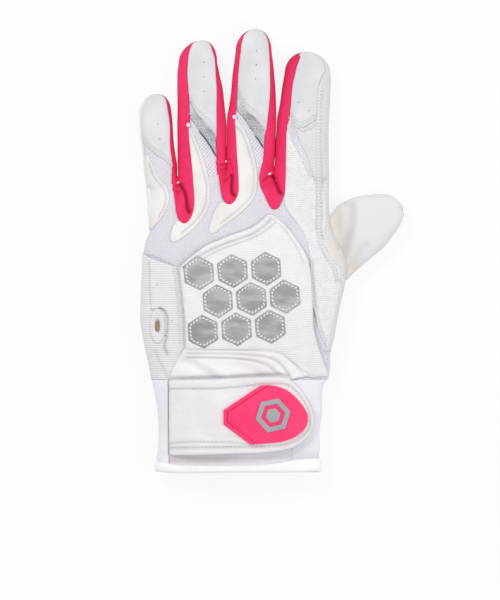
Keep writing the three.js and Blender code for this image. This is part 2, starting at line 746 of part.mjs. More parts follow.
function makeStrap() {
  const fromY = strapLowY - OVERRUN / 4;
  const toY = strapTopY + OVERRUN / 4;
  const layer = (from, to) => handLayer(from, to, fromY, toY).intersect(above(SHOULDER_HEIGHT));
  const outline = prism(strapOutline(0));
  const rootEnd = block(
    [strapSewnX, fromY, 0],
    [strapSewnX + STRAP_ROOT_LENGTH, toY, reach],
  );
  const beyondRoot = block([strapSewnX + STRAP_ROOT_LENGTH / 2, fromY, 0], [reach, toY, reach]);
  const root = layer(overlayFrom, overlayFrom + STRAP_ROOT_THICKNESS).intersect(rootEnd);
  const rise = layer(overlayFrom, strapTo).intersect(rootEnd).intersect(beyondRoot);
  const band = layer(strapFrom, strapTo).intersect(beyondRoot);
  place('strap', 'leather', root.add(rise).add(band).intersect(outline));
  const inner = prism(strapOutline(HOOK_MARGIN));
  const hookEndX = strapEndX - HOOK_MARGIN;
  const hookSpan = block([hookEndX - HOOK_LENGTH, fromY, 0], [hookEndX, toY, reach]);
  const loopSpan = block([hookEndX - 1.25 * HOOK_LENGTH, fromY, 0], [hookEndX - HOOK_MARGIN, toY, reach]);
  place('loop_patch', 'hook', layer(overlayFrom, loopTo).intersect(inner).intersect(loopSpan));
  place('hook_patch', 'hook', layer(hookFrom, hookTo).intersect(inner).intersect(hookSpan));
  const badgeFrom = strapTo + SEAM_GAP;
  const badgeLayer = layer(badgeFrom, badgeFrom + BADGE_THICKNESS);
  place('strap_badge', 'rubber', badgeLayer.intersect(prism(badgeOutline())));
}

// Badge: a point-cornered left side and one wide round right end
function badgeOutline() {
  const across = (share) => strapEndX - BADGE_END_SPACE - BADGE_LENGTH * (1 - share);
  const up = (share) => (strapTopY + strapLowY) / 2 + BADGE_RISE + BADGE_WIDTH * share;
  const shape = new THREE.Shape();
  shape.moveTo(across(0), up(0.09));
  shape.lineTo(across(0), up(-0.15));
  shape.lineTo(across(0.3), up(-0.5));
  shape.bezierCurveTo(across(0.6), up(-0.49), across(0.86), up(-0.44), across(0.97), up(-0.1));
  shape.bezierCurveTo(across(1.03), up(0.1), across(0.83), up(0.5), across(0.52), up(0.5));
  shape.lineTo(across(0.44), up(0.48));
  return shape.getPoints(7).map((point) => [point.x, point.y]);
}

// Pull tab with its slot, sewn over the side panel
function oval(x, y, width, length) {
  const shape = new THREE.Shape();
  shape.absellipse(x, y, width / 2, length / 2, 0, 2 * Math.PI);
  return shape.getPoints(5).slice(0, -1).map((point) => [point.x, point.y]);
}

function makePullTab() {
  const [x, y] = onHand(tabPlaceShares);
  const fromY = y - TAB_LENGTH;
  const toY = y + TAB_LENGTH;
  const layer = handLayer(overlayFrom, overlayTo, fromY, toY).intersect(above(SHOULDER_HEIGHT));
  const tab = prism(oval(x, y, TAB_WIDTH, TAB_LENGTH));
  const slot = prism(oval(x, y, SLOT_WIDTH, SLOT_LENGTH));
  place('pull_tab', 'leather', layer.intersect(tab).subtract(slot));
}

// One digit: palm side, two side walls, back, and the panels sewn on the back
const sideNames = {
  pinky: ['pinky_leaf', 'leather', 'pinky_gusset', 'pink'],
  ring: ['ring_gusset_left', 'pink', 'ring_gusset_right', 'pink'],
  middle: ['middle_gusset_left', 'pink', 'middle_gusset_right', 'pink'],
  index: ['index_gusset', 'pink', 'index_side_strip', 'leather'],
  thumb: ['thumb_inner_side', 'leather', 'thumb_outer_side', 'leather'],
};

function makeDigit(name) {
  const digit = digits[name];
  const parent = new THREE.Group();
  parent.position.set(digit.x, digit.y, 0);
  parent.rotation.z = digit.angle;
  glove.add(parent);
  const toDigit = onDigit(digit);
  const shell = digitLayer(name, -WALL, 0);
  const [left, right] = ['left', 'right'].map((side) => {
    const line = sideSeamShares[name][side].map(toDigit);
    return [[line[0][0], -OVERRUN], ...line];
  });
  const [leftName, leftFinish, rightName, rightFinish] = sideNames[name];
  place(`${name}_palm`, 'leather', shell.intersect(below(SEAM_HEIGHT - SEAM_GAP / 2)), parent);
  const parts = splitAtSeams(shell, left, right);
  place(leftName, leftFinish, parts.left, parent);
  place(rightName, rightFinish, parts.right, parent);
  place(`${name}_back`, name === 'thumb' ? 'leather' : 'mesh', parts.back, parent);
  const layer = digitLayer(name, overlayFrom, overlayTo).intersect(above(digit.height / 2));
  const kinds = [
    ['tip_panel', 'panel', tipPanelShares],
    ['insert', 'silver', insertShares],
    ['leaf', 'leather', leafShares],
  ];
  for (const [kind, finish, outlines] of kinds) {
    if (!outlines[name]) continue;
    const outline = drawnIn(outlines[name].map(toDigit), SEAM_GAP / 2);
    place(`${name}_${kind}`, finish, layer.intersect(prism(outline)), parent);
  }
}

makeHand();
makeHandOverlays();
makeKnucklePad();
makeCuff();
makeStrap();
makePullTab();
Object.keys(DIGITS).forEach(makeDigit);

// The origin goes under the middle of the whole glove, on the surface
const outerBox = new THREE.Box3().setFromObject(glove, true);
const outerMiddle = outerBox.getCenter(new THREE.Vector3());
glove.position.set(-outerMiddle.x, -outerMiddle.y, -outerBox.min.z);

export default glove;
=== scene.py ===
"""Left-hand batting glove lying palm down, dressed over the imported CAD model.

Shapes are worked out in millimetres on the CAD's own drawing and turned into metres when a
piece is made. Outlines are given in picture units: one unit is half a millimetre, x to the
right and y down, seen from straight above.
"""
import math

import bmesh
import bpy
import numpy as np
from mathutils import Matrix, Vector
from mathutils.geometry import delaunay_2d_cdt


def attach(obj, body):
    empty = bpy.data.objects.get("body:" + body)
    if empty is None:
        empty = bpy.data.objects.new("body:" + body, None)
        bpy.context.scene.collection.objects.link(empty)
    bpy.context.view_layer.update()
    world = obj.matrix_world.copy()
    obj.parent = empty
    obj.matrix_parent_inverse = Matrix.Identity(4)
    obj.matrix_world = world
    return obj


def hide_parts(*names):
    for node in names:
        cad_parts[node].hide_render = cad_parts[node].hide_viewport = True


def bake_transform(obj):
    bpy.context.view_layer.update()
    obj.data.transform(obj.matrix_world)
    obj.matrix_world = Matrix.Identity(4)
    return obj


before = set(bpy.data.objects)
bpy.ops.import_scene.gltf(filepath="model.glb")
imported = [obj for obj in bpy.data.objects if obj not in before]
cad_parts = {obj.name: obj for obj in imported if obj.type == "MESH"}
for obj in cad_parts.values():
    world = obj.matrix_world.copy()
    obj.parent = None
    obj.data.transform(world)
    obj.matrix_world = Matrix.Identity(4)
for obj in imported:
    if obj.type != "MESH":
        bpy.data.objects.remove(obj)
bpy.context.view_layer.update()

# The picture's frame and the CAD's drawing
PICTURE_WIDTH = 500
PICTURE_HEIGHT = 600
UNIT = 0.5  # millimetres to a picture unit
ZERO_X = 271.0
ZERO_Y = 250.5
SHIFT = (-1.1095, -0.2101)  # from the CAD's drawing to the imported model
MM = 0.001

# Sizes that the panels share, in millimetres
SOLE_SINK = 1.2
SEAM_HEIGHT = 3.0
TUBE_POWER = 2.5
CLOTH = 0.7
MIDDLE_HEIGHT = 9.0
ROLL = 0.9
SEAM_ROLL = 0.45
# Painted shade along turned edges: its width in millimetres and its strength
RIM_WIDTH = 0.35
RIM_SHADE = 0.22
# Painted shade in a crease, for each millimetre of its depth
SEAM_SHADE = 0.9  # shade of a crease for each millimetre of its depth

DIGITS = ("pinky", "ring", "middle", "index", "thumb")
FINGERS = DIGITS[:4]


def drawn(points):
    """Picture units to millimetres on the drawing."""
    points = np.asarray(points, float)
    return np.stack([(points[..., 0] - ZERO_X) * UNIT, (ZERO_Y - points[..., 1]) * UNIT], -1)


def along_of(picture_y):
    return (ZERO_Y - np.asarray(picture_y, float)) * UNIT


def across_of(picture_x):
    return (np.asarray(picture_x, float) - ZERO_X) * UNIT


def smooth(value, low, high):
    """0 at low, 1 at high, smooth on the way."""
    share = np.clip((np.asarray(value, float) - low) / (high - low), 0, 1)
    return share * share * (3 - 2 * share)


def signed_power(value, power):
    """A power that keeps the sign."""
    return np.sign(value) * np.abs(value) ** power


UP = np.array([0.0, 0.0, 1.0])


def unit(vectors):
    """The same directions, each of length 1."""
    return vectors / (np.linalg.norm(vectors, axis=-1, keepdims=True) + 1e-9)


def to_the_left(ahead):
    """Directions turned a quarter to the left."""
    return np.stack([-ahead[:, 1], ahead[:, 0]], -1)


def walked(points):
    """How far along a line of points each of them lies."""
    return np.concatenate([[0], np.cumsum(np.linalg.norm(np.diff(points, axis=0), axis=1))])


def between(first, last, columns):
    """Values in even steps across the columns, from a first one to a last one."""
    share = np.linspace(0, 1, columns)
    return first * (1 - share) + last * share


class Curve:
    """A smooth curve through rows of (key, value), keys rising."""

    def __init__(self, keys, values):
        order = np.argsort(keys)
        self.keys = np.asarray(keys, float)[order]
        self.values = np.asarray(values, float)[order]
        steps = np.diff(self.values) / np.diff(self.keys)
        slopes = np.zeros(len(self.keys))
        slopes[0] = steps[0]
        slopes[-1] = steps[-1]
        for at in range(1, len(steps)):
            before, after = steps[at - 1], steps[at]
            if before * after > 0:
                slopes[at] = 2 * before * after / (before + after)
        self.slopes = slopes

    def __call__(self, where):
        where = np.clip(np.asarray(where, float), self.keys[0], self.keys[-1])
        at = np.clip(np.searchsorted(self.keys, where, "right") - 1, 0, len(self.keys) - 2)
        span = self.keys[at + 1] - self.keys[at]
        u = (where - self.keys[at]) / span
        u2, u3 = u * u, u * u * u
        return (
            (2 * u3 - 3 * u2 + 1) * self.values[at]
            + (u3 - 2 * u2 + u) * span * self.slopes[at]
            + (3 * u2 - 2 * u3) * self.values[at + 1]
            + (u3 - u2) * span * self.slopes[at + 1]
        )


# Tubes: the hand, each finger and the thumb

class Tube:
    """A closed form whose sections are superellipses across its own straight axis.

    Tip is (across, along) of the far end, cap the length of its rounded part, and blunt is 2 for an
    elliptic end and more for a squarer one.
    """

    def __init__(self, rows, heights, origin=(0, 0), turn=0.0, tip=None, cap=0.0, blunt=2.0):
        along, left, right = np.transpose(rows)
        self.left = Curve(along, left)
        self.right = Curve(along, right)
        self.height = Curve(*np.transpose(heights))
        self.origin = origin
        self.turn = turn
        self.tip = tip
        self.cap = cap
        self.begin = tip[1] - cap if tip else None  # where the rounded end begins
        self.blunt = blunt

    def shape(self, along):
        """Centre, half width, half height and roundness of the section at each place along."""
        along = np.asarray(along, float)
        left, right = self.left(along), self.right(along)
        centre, half = (left + right) / 2, (right - left) / 2
        if self.tip is None:
            return centre, half, self.height(along) / 2, np.ones_like(along)
        into = np.clip((along - self.begin) / self.cap, 0, 1)
        centre = centre + (self.tip[0] - centre) * into ** 2
        around = np.clip(1 - into ** self.blunt, 0.02 ** self.blunt, 1) ** (1 / self.blunt)
        return centre, half * around, self.height(np.minimum(along, self.begin)) / 2, around

    def point(self, along, angle, out=0.0):
        """A point on the surface: the angle runs from 0 at +X over the top to pi at -X."""
        centre, half, middle, around = self.shape(along)
        side, rise = (signed_power(part, 2 / TUBE_POWER) for part in (np.cos(angle), np.sin(angle)))
        reach = np.where(rise > 0, middle, middle + SOLE_SINK)
        nx = signed_power(np.cos(angle), 1.2) / half
        nz = signed_power(np.sin(angle), 1.2) / (middle * around + 0.01)
        size = np.hypot(nx, nz) + 1e-9
        out = out * np.clip(around * 3, 0, 1)
        x = centre + half * side + out * nx / size
        z = middle + reach * rise * around + out * nz / size
        cosine, sine = math.cos(self.turn), math.sin(self.turn)
        return np.stack([self.origin[0] + cosine * x - sine * along,
                         self.origin[1] + sine * x + cosine * along, np.maximum(z, 0.0)], -1)

    def local(self, x, y):
        """Across and along of a point of the drawing."""
        cosine, sine = math.cos(self.turn), math.sin(self.turn)
        dx, dy = x - self.origin[0], y - self.origin[1]
        return cosine * dx + sine * dy, -sine * dx + cosine * dy

    def share(self, x, y):
        """How far a point lies across the tube: -1 at its left edge and 1 at its right."""
        across, along = self.local(x, y)
        centre, half, middle, around = self.shape(along)
        return (across - centre) / half

    def stand(self, x, y):
        """Half height, roundness and how high the section stands over a point of the drawing, 0 to 1."""
        centre, half, middle, around = self.shape(self.local(x, y)[1])
        u = np.clip(np.abs(self.share(x, y)), 0, 1)
        return middle, around, np.clip(1 - u ** TUBE_POWER, 0, 1) ** (1 / TUBE_POWER)

    def top(self, x, y):
        """Height of the upper side over a point of the drawing."""
        middle, around, stand = self.stand(x, y)
        return middle + middle * around * stand

    def underside(self, x, y):
        """Height of the lower side over a point of the drawing."""
        middle, around, stand = self.stand(x, y)
        return np.clip(middle - (middle + SOLE_SINK) * stand, 0, SEAM_HEIGHT)

    def angle_at(self, share):
        """The angle of a point on the upper side from its share across."""
        return np.arccos(np.clip(signed_power(share, TUBE_POWER / 2), -1, 1))

    def low_angle(self, along):
        """How far below the middle the palm leather's edge lies, as an angle."""
        centre, half, middle, around = self.shape(along)
        depth = np.clip((middle - SEAM_HEIGHT) / (middle + SOLE_SINK) / np.maximum(around, 0.25), 0, 1)
        return np.arcsin(depth ** (TUBE_POWER / 2))


def picture_tube(rows, heights, tip=None, cap=0.0):
    """A tube along the drawing's Y, from rows of picture y, left x, right x."""
    rows = [(along_of(y), across_of(left), across_of(right)) for y, left, right in rows]
    heights = [(along_of(y), height) for y, height in heights]
    if tip is not None:
        tip = tuple(drawn(tip))
    return Tube(rows, heights, tip=tip, cap=cap * UNIT)


HAND = picture_tube(
    [
        (150, 145, 329.5), (172, 145.5, 329), (194, 147, 328.4), (220, 148.6, 328.9), (230, 149.2, 331.6),
        (240, 145.6, 336.4), (252, 143.5, 343), (266, 142.6, 346), (282, 142, 345), (296, 141.5, 342),
        (316, 141.2, 337.8), (337, 143.5, 334), (356, 147.8, 330.5), (368, 150, 330.6), (378, 151.7, 328.6),
        (386, 153.5, 323.5), (397, 155.8, 322), (411, 158, 322.4), (428, 158.6, 320.5), (450, 157.4, 320),
        (463, 156, 320.5), (473, 155.2, 321.2),
    ],
    [(473, 15.9), (384.7, 15.9), (351.8, 17.4), (306.9, 18.5), (262, 17.9), (217.2, 15.2), (172.3, 13.5),
     (150, 13.2)],
)
TUBES = {
    "pinky": picture_tube(
        [(250, 148.5, 178), (204, 147.5, 177.8), (188, 146.3, 177.3), (167, 143.8, 177),
         (155, 142.6, 175.3), (140, 140.6, 173.5), (119, 139.4, 171.8), (110, 139.2, 170.6)],
        [(250, 12.5), (188, 12.5), (112, 10.5)], tip=(157, 93.5), cap=18.5,
    ),
    "ring": picture_tube(
        [(240, 177.9, 226), (178, 177.9, 226.2), (150, 177.5, 226.5), (131, 177.4, 226.4),
         (110, 177.4, 225),
         (89, 177.4, 222.6), (75, 177.5, 219.5), (62, 178.8, 216.8)],
        [(240, 13.5), (178, 13.5), (62, 11)], tip=(202, 40), cap=22,
    ),
    "middle": picture_tube(
        [(240, 226.6, 273.6), (172, 226.6, 273.6), (150, 226.6, 275), (119.5, 227, 276), (106, 229, 275.9),
         (89, 231.4, 275.5), (75, 232.6, 274.2), (63, 234, 273), (50.7, 235.7, 271.6)],
        [(240, 13.5), (172, 13.5), (51, 11)], tip=(255.5, 28.7), cap=22,
    ),
    "index": picture_tube(
        [(240, 274.4, 329), (180, 274.4, 329), (150, 275.5, 328.5), (135, 276.3, 328.4), (121, 277, 329),
         (104, 280, 330), (90, 281.8, 330.6), (80, 283.5, 331), (73, 284.8, 330.2)],
        [(240, 13.5), (180, 13.5), (73, 11)], tip=(306, 51.5), cap=21.5,
    ),
}
THUMB_LENGTH = 38.0
THUMB_HALF = 16.9
THUMB_TIP = 36.9
THUMB_CAP = 5.4
THUMB_ROOT = (32.4, 0.75)
THUMB_TURN = math.radians(-77.6)
thumb_edge_shares = [
    (-0.3, -0.98, 1.05), (0, -1, 1), (0.17, -1.26, 0.79), (0.42, -1.37, 0.49), (0.63, -1.34, 0.24),
    (0.77, -1.28, -0.02), (0.87, -1.19, -0.21), (0.95, -1.1, -0.32),
]
TUBES["thumb"] = Tube(
    [(a * THUMB_LENGTH, l * THUMB_HALF, r * THUMB_HALF) for a, l, r in thumb_edge_shares],
    [(-8, 13), (0, 13), (THUMB_LENGTH, 11)],
    origin=THUMB_ROOT, turn=THUMB_TURN, tip=(-0.7 * THUMB_HALF, THUMB_TIP), cap=THUMB_CAP, blunt=2.4,
)

ROOT_X = [-63, -55, -34.55, -10.45, 15.35, 29]
ROOT_Y = [31.25, 31.25, 36.25, 39.25, 35.25, 35.25]
CREASE_LENGTH = 17.0  # creases between the fingers run this far into the hand
CREASE_DEPTH = 0.3


def root_line(x):
    """Where the fingers begin, as a place along for each place across."""
    return np.interp(x, ROOT_X, ROOT_Y)


def top(x, y):
    """Height of the whole glove's upper side, smooth from the hand into the digits."""
    x, y = np.asarray(x, float), np.asarray(y, float)
    shares = [np.abs(TUBES[name].share(x, y)) for name in FINGERS]
    begin = root_line(x)
    crease = smooth(y, begin - CREASE_LENGTH, begin) * np.clip(np.min(shares, axis=0), 0, 1) ** 4
    hand = HAND.top(x, y) * (1 - CREASE_DEPTH * crease)
    finger = hand * 0.8
    for name, share in zip(FINGERS, shares):
        finger = np.where(share <= 1, TUBES[name].top(x, y), finger)
    height = hand + (finger - hand) * smooth(y, begin - 2, begin + 3)
    thumb = TUBES["thumb"]
    across, along = thumb.local(x, y)
    on_thumb = smooth(along, 0, 12) * (np.abs(thumb.share(x, y)) <= 1.02)
    return height + (thumb.top(x, y) - height) * on_thumb


# Meshes

def places(mesh):
    """The vertices of a mesh as rows of x, y and z, in metres."""
    return np.array([vertex.co[:] for vertex in mesh.vertices])


def map_cloth(mesh, uv):
    """Gives a mesh the flat coordinates in millimetres that every finish reads."""
    layer = mesh.uv_layers.get("cloth") or mesh.uv_layers.new(name="cloth")
    corners = np.zeros(len(mesh.loops), int)
    mesh.loops.foreach_get("vertex_index", corners)
    layer.data.foreach_set("uv", np.asarray(uv, np.float32).reshape(-1, 2)[corners].ravel())


def collect(name, vertices, faces, uv, painted_shade=None):
    """A mesh object from millimetre points, with the flat cloth's own coordinates in millimetres.

    Painted shade says how dark each point is painted at a seam, fold or turned edge, 0 to 1, for the finish
    to mix in its shade tone.
    """
    placed = (np.asarray(vertices, float).reshape(-1, 3) + (*SHIFT, 0.0)) * MM
    mesh = bpy.data.meshes.new(name)
    mesh.from_pydata(placed.tolist(), [], [list(map(int, face)) for face in faces])
    map_cloth(mesh, uv)
    if painted_shade is not None:
        painted_shading = mesh.attributes.new("painted_shade", "FLOAT", "POINT")
        painted_shading.data.foreach_set("value", np.clip(painted_shade, 0, 1).astype(np.float32).ravel())
    piece = bpy.data.objects.new(name, mesh)
    bpy.context.scene.collection.objects.link(piece)
    mesh.polygons.foreach_set("use_smooth", [True] * len(mesh.polygons))
    return piece


def thicken(piece, thickness):
    """Gives a sheet its thickness, inwards from the surface that shows."""
    wall = piece.modifiers.new("wall", "SOLIDIFY")
    wall.thickness = thickness * MM
    wall.offset = -1
    with bpy.context.temp_override(object=piece, active_object=piece, selected_objects=[piece]):
        bpy.ops.object.modifier_apply(modifier=wall.name)


def grid_faces(rows, columns):
    """Faces between rows and columns of points."""
    corners = [i * columns + j for i in range(rows - 1) for j in range(columns - 1)]
    return [(at, at + 1, at + columns + 1, at + columns) for at in corners]


def edge_roll(distance, radius, depth):
    """How far a turned edge drops at a distance from the rim."""
    near = np.clip(1 - distance / radius, 0, 1)
    return depth * (1 - np.sqrt(np.clip(1 - near * near, 0, 1)))


def painted_rim_shade(distance, shade=RIM_SHADE):
    """Painted shade along a turned edge."""
    return shade * np.exp(-((distance / RIM_WIDTH) ** 2))


def tube_panel(name, tube, along, angle, out=0.0, rolled=(True, True), relief=None, ends=(False, False),
               fit=True,
               painted_shading=None, sole=0.0):
    """A panel of a tube from grids of along and angle. Its side edges roll in at the seams.

    Fit sets the panel's height by the whole glove's upper side, up to a place along if it is a number.
    Its rolled edges get painted shade, painted shading paints shade into its folds, and sole is the least
    height of each point.
    """
    points = tube.point(along, angle)
    steps = [np.linalg.norm(np.diff(points, axis=axis), axis=2) for axis in (1, 0)]
    across, onward = (np.insert(np.cumsum(step, axis), 0, 0, axis) for step, axis in zip(steps, (1, 0)))
    lift = np.zeros(points.shape[:2]) + out
    painted_shade = np.zeros(points.shape[:2])
    from_edges = (across, across[:, -1:] - across, onward, onward[-1:] - onward)
    for wanted, distance in zip((*rolled, *ends), from_edges):
        if wanted:
            lift = lift - edge_roll(distance, ROLL, SEAM_ROLL)
            painted_shade = np.maximum(painted_shade, painted_rim_shade(distance))
    if painted_shading is not None:
        painted_shade = np.maximum(painted_shade, painted_shading(*np.moveaxis(points, -1, 0)))
    if relief is not None:
        lift = lift + relief(*np.moveaxis(points, -1, 0))
    points = tube.point(along, angle, lift)
    points[..., 2] = np.maximum(points[..., 2], sole)
    if fit:
        near = 1 if fit is True else smooth(along, fit, fit - 2)
        x, y = points[..., 0], points[..., 1]
        points[..., 2] += (top(x, y) - tube.top(x, y)) * smooth(np.sin(angle), 0.1, 0.6) * near
    uv = np.stack([across - across[:, -1:] / 2, along + 0 * across], -1)
    piece = collect(name, points, grid_faces(*points.shape[:2]), uv, painted_shade)
    thicken(piece, CLOTH)
    return piece


RIM_STEP = 0.7  # space between the points of a rim, in millimetres
FINE_STEP = 0.25  # space between its points while its corners are rounded


def rounded(outline, soft):
    """A closed outline as evenly spaced points, its corners rounded by about the soft length."""
    line = spaced(outline, FINE_STEP, closed=True)
    reach = max(int(3 * soft / FINE_STEP), 1)
    weights = np.exp(-0.5 * (np.arange(-reach, reach + 1) * FINE_STEP / soft) ** 2)
    weights = weights / weights.sum()
    around = np.take(line, np.arange(-reach, len(line) + reach), axis=0, mode="wrap")
    line = np.stack([np.convolve(around[:, k], weights, "valid") for k in range(2)], -1)
    return spaced(line, RIM_STEP, closed=True)


def spaced(points, step, closed=False):
    """The same line with points an even step apart."""
    points = np.asarray(points, float)
    if closed:
        points = np.vstack([points, points[:1]])
    lengths = walked(points)
    count = max(int(round(lengths[-1] / step)), 3)
    where = np.linspace(0, lengths[-1], count + 1)
    if closed:
        where = where[:-1]
    return np.stack([np.interp(where, lengths, points[:, k]) for k in range(points.shape[1])], -1)


def from_line(points, line, closed=True):
    """Distance of each point from a line of points."""
    points = np.asarray(points, float).reshape(-1, 2)
    start = np.asarray(line, float)
    end = np.roll(start, -1, axis=0)
    if not closed:
        start, end = start[:-1], end[:-1]
    best = np.full(len(points), 1e9)
    for a, b in zip(start, end):
        span = b - a
        share = np.clip(((points - a) @ span) / max(span @ span, 1e-12), 0, 1)
        gap = points - a - share[:, None] * span
        best = np.minimum(best, np.hypot(gap[:, 0], gap[:, 1]))
    return best


def within(points, outline):
    """True for each point inside a closed outline."""
    x, y = points[:, 0], points[:, 1]
    inside = np.zeros(len(points), bool)
    previous = outline[-1]
    for current in outline:
        crosses = (current[1] > y) != (previous[1] > y)
        with np.errstate(divide="ignore", invalid="ignore"):
            meet = (previous[0] - current[0]) * (y - current[1]) / (previous[1] - current[1]) + current[0]
        inside ^= crosses & (x < meet)
        previous = current
    return inside


# Where the points of a panel lie, in millimetres
CREASE_STEPS = (-0.9, -0.45, 0.0, 0.45, 0.9)  # rows of points along a crease and beside it
CREASE_CLEAR = 1.2  # no other point lies this near a crease
RIM_RINGS = (0.2, 0.45, 0.9)  # rings of points this far inside the rim
RIM_CLEAR = 1.35  # the even rows of points keep this far from the rim
ROW_SPACING = 0.87  # rows of the even points, as a share of the space between points in a row


def beside(line):
    """Points along a line and beside it, so that a crease there has a shape."""
    line = spaced(line, 0.7)
    side = to_the_left(unit(np.gradient(line, axis=0)))
    return np.vstack([line + side * step for step in CREASE_STEPS])


def spread(outline, spacing, hole=None, lines=()):
    """Points and triangles that fill an outline, closer together at its rim and along creases."""
    x, y = outline.T
    rim = outline if np.sum(x * np.roll(y, -1) - np.roll(x, -1) * y) > 0 else outline[::-1]
    inward = to_the_left(unit(np.roll(rim, -1, axis=0) - np.roll(rim, 1, axis=0)))
    loose = []
    for distance in RIM_RINGS:
        ring = rim + inward * distance
        loose.append(ring[(from_line(ring, rim) > distance * 0.8) & within(ring, rim)])
    low, high = rim.min(0), rim.max(0)
    for at, y in enumerate(np.arange(low[1], high[1], spacing * ROW_SPACING)):
        xs = np.arange(low[0] + (spacing / 2 if at % 2 else 0), high[0], spacing)
        row = np.stack([xs, np.full(len(xs), y)], -1)
        row = row[within(row, rim)]
        if len(row):
            loose.append(row[from_line(row, rim) > RIM_CLEAR])
    inner = np.vstack(loose)
    if lines:
        extra = np.vstack([beside(line) for line in lines])
        extra = extra[within(extra, rim)]
        extra = extra[from_line(extra, rim) > 0.3]
        clear = np.min([from_line(inner, line, False) for line in lines], axis=0)
        inner = np.vstack([inner[clear > CREASE_CLEAR], extra])
    loops = [rim]
    if hole is not None:
        inner = inner[(from_line(inner, hole) > 0.4) & ~within(inner, hole)]
        loops.append(hole)
    edges = []
    begin = 0
    for loop in loops:
        edges += [(begin + k, begin + (k + 1) % len(loop)) for k in range(len(loop))]
        begin += len(loop)
    points = [Vector(point) for point in np.vstack(loops + [inner])]
    flat, _, faces, *_ = delaunay_2d_cdt(points, edges, [list(range(len(rim)))], 1, 1e-6)
    flat = np.array([tuple(point) for point in flat])
    if hole is not None:
        centres = np.array([flat[face].mean(0) for face in faces])
        faces = [face for face, out in zip(faces, within(centres, hole)) if not out]
    return flat, faces


SWELL_FRAMES = 20
SWELL_HELD = (0.8, 1.6)  # held down this near a rim or seam, and free from this far
SWELL_SETTINGS = {
    "mass": 0.00002, "use_pressure": True, "uniform_pressure_force": 4.0, "tension_stiffness": 3.0,
    "compression_stiffness": 3.0, "shear_stiffness": 1.0, "bending_stiffness": 0.02, "shrink_min": -0.02,
}


def swell_out(piece, held, most):
    """Lets a padded sheet swell between its seams in a short cloth simulation.

    Held is 1 where the sheet is sewn down. No point moves further than most, in millimetres.
    """
    group = piece.vertex_groups.new(name="held")
    for at, weight in enumerate(held):
        group.add([at], float(weight), "REPLACE")
    cloth = piece.modifiers.new("swell", "CLOTH")
    cloth.settings.vertex_group_mass = group.name
    cloth.settings.effector_weights.gravity = 0.0
    for setting, value in SWELL_SETTINGS.items():
        setattr(cloth.settings, setting, value)
    cloth.point_cache.frame_start = 1
    cloth.point_cache.frame_end = SWELL_FRAMES
    scene = bpy.context.scene
    for frame_number in range(1, SWELL_FRAMES + 1):
        scene.frame_set(frame_number)
    before = places(piece.data)
    move = places(piece.evaluated_get(bpy.context.evaluated_depsgraph_get()).data) - before
    piece.modifiers.remove(cloth)
    piece.vertex_groups.remove(group)
    size = np.linalg.norm(move, axis=1)[:, None] + 1e-12
    move = move / size * most * MM * np.tanh(size / (most * MM))
    piece.data.vertices.foreach_set("co", (before + move).ravel())
    piece.data.update()
    scene.frame_set(1)


def patch(name, outline, lift=0.9, spacing=1.3, thickness=CLOTH, roll=ROLL, relief=None, surface=top,
          hole=None,
          soft=1.3, creases=(), shade=SEAM_SHADE, fade=0.0, rim_shade=RIM_SHADE, swell=0.0):
    """A panel laid on the glove's upper side, with turned edges. Outline in millimetres.

    Creases are rows of line, width and depth. Shade is the shade painted into them for each millimetre of
    depth, and fade the length over which they run out at the rim. Rim shade is the shade painted along the
    turned edge. Swell is how far a padded panel may bulge.
    """
    rim = rounded(outline, soft)
    flat, faces = spread(rim, spacing, hole, [line for line, width, sink in creases])
    x, y = flat.T
    distance = from_line(flat, rim)
    if hole is not None:
        distance = np.minimum(distance, from_line(flat, hole))
    height = surface(x, y) + lift - edge_roll(distance, roll, thickness)
    painted_shade = painted_rim_shade(distance, rim_shade)
    for line, width, sink in creases:
        near = groove(line, width, -1.0)(x, y)
        if fade:
            near = near * smooth(distance, 0.2, fade)
        height = height - sink * near
        painted_shade = np.maximum(painted_shade, np.clip(shade * sink, 0, 1) * near)
    if relief is not None:
        height = height + relief(x, y)
    piece = collect(name, np.column_stack([flat, height]), faces, flat, painted_shade)
    if swell:
        sewn_lines = [from_line(flat, line, False) for line, width, sink in creases]
        swell_out(piece, 1 - smooth(np.min([distance, *sewn_lines], axis=0), *SWELL_HELD), swell)
    thicken(piece, thickness)
    return piece


def groove(line, width, depth, closed=False):
    """A relief along a line of the drawing: a groove where depth is above zero, else a ridge."""
    line = np.asarray(line, float)

    def relief(x, y, *rest):
        points = np.stack([np.ravel(x), np.ravel(y)], -1)
        gap = from_line(points, line, closed).reshape(np.shape(x))
        return -depth * np.exp(-((gap / width) ** 2))

    return relief


def line_groove(points, width, depth):
    """A groove or ridge along a smooth line through picture points."""
    line = curve_line(points)
    return groove(line, width, depth)


def together(*reliefs):
    """The sum of several reliefs."""
    return lambda x, y, *rest: sum(relief(x, y, *rest) for relief in reliefs)


def wave_noise(scale, size, seed=0.0):
    """Soft unevenness, as cloth has it."""

    def relief(x, y, *rest):
        a = np.sin(x / scale + 1.7 * np.sin(y / scale * 0.8 + seed) + seed)
        b = np.sin(y / scale * 1.3 + 1.9 * np.sin(x / scale * 0.7 + 2 * seed) + 3 * seed)
        return size * a * b

    return relief


def ring_faces(begin, rings, sides):
    """Faces between rings of points, counted from the first ring's first point."""
    faces = []
    for low in range(begin, begin + (rings - 1) * sides, sides):
        for k in range(sides):
            after = (k + 1) % sides
            faces.append((low + k, low + after, low + sides + after, low + sides + k))
    return faces


STITCH_SIDES = 6
# Length, gap and width of the stitches in each kind of row, in millimetres
SEAM_STITCH = (1.2, 0.6, 0.34)
TIP_STITCH = (1.1, 0.7, 0.42)
LEAF_STITCH = (1.2, 0.7, 0.36)
BACKING_STITCH = (1.0, 0.7, 0.34)
TAPE_STITCH = (1.2, 0.9, 0.55)
UPPER_STRAP_STITCH = (1.5, 0.6, 0.36)
LOWER_STRAP_STITCH = (1.5, 0.6, 0.32)
ROPE_STITCH = (1.5, 0.35, 1.05)
STITCH_RINGS = ((0.16, 0.75), (0.5, 1.0), (0.84, 0.75))  # share of its length, share of its width


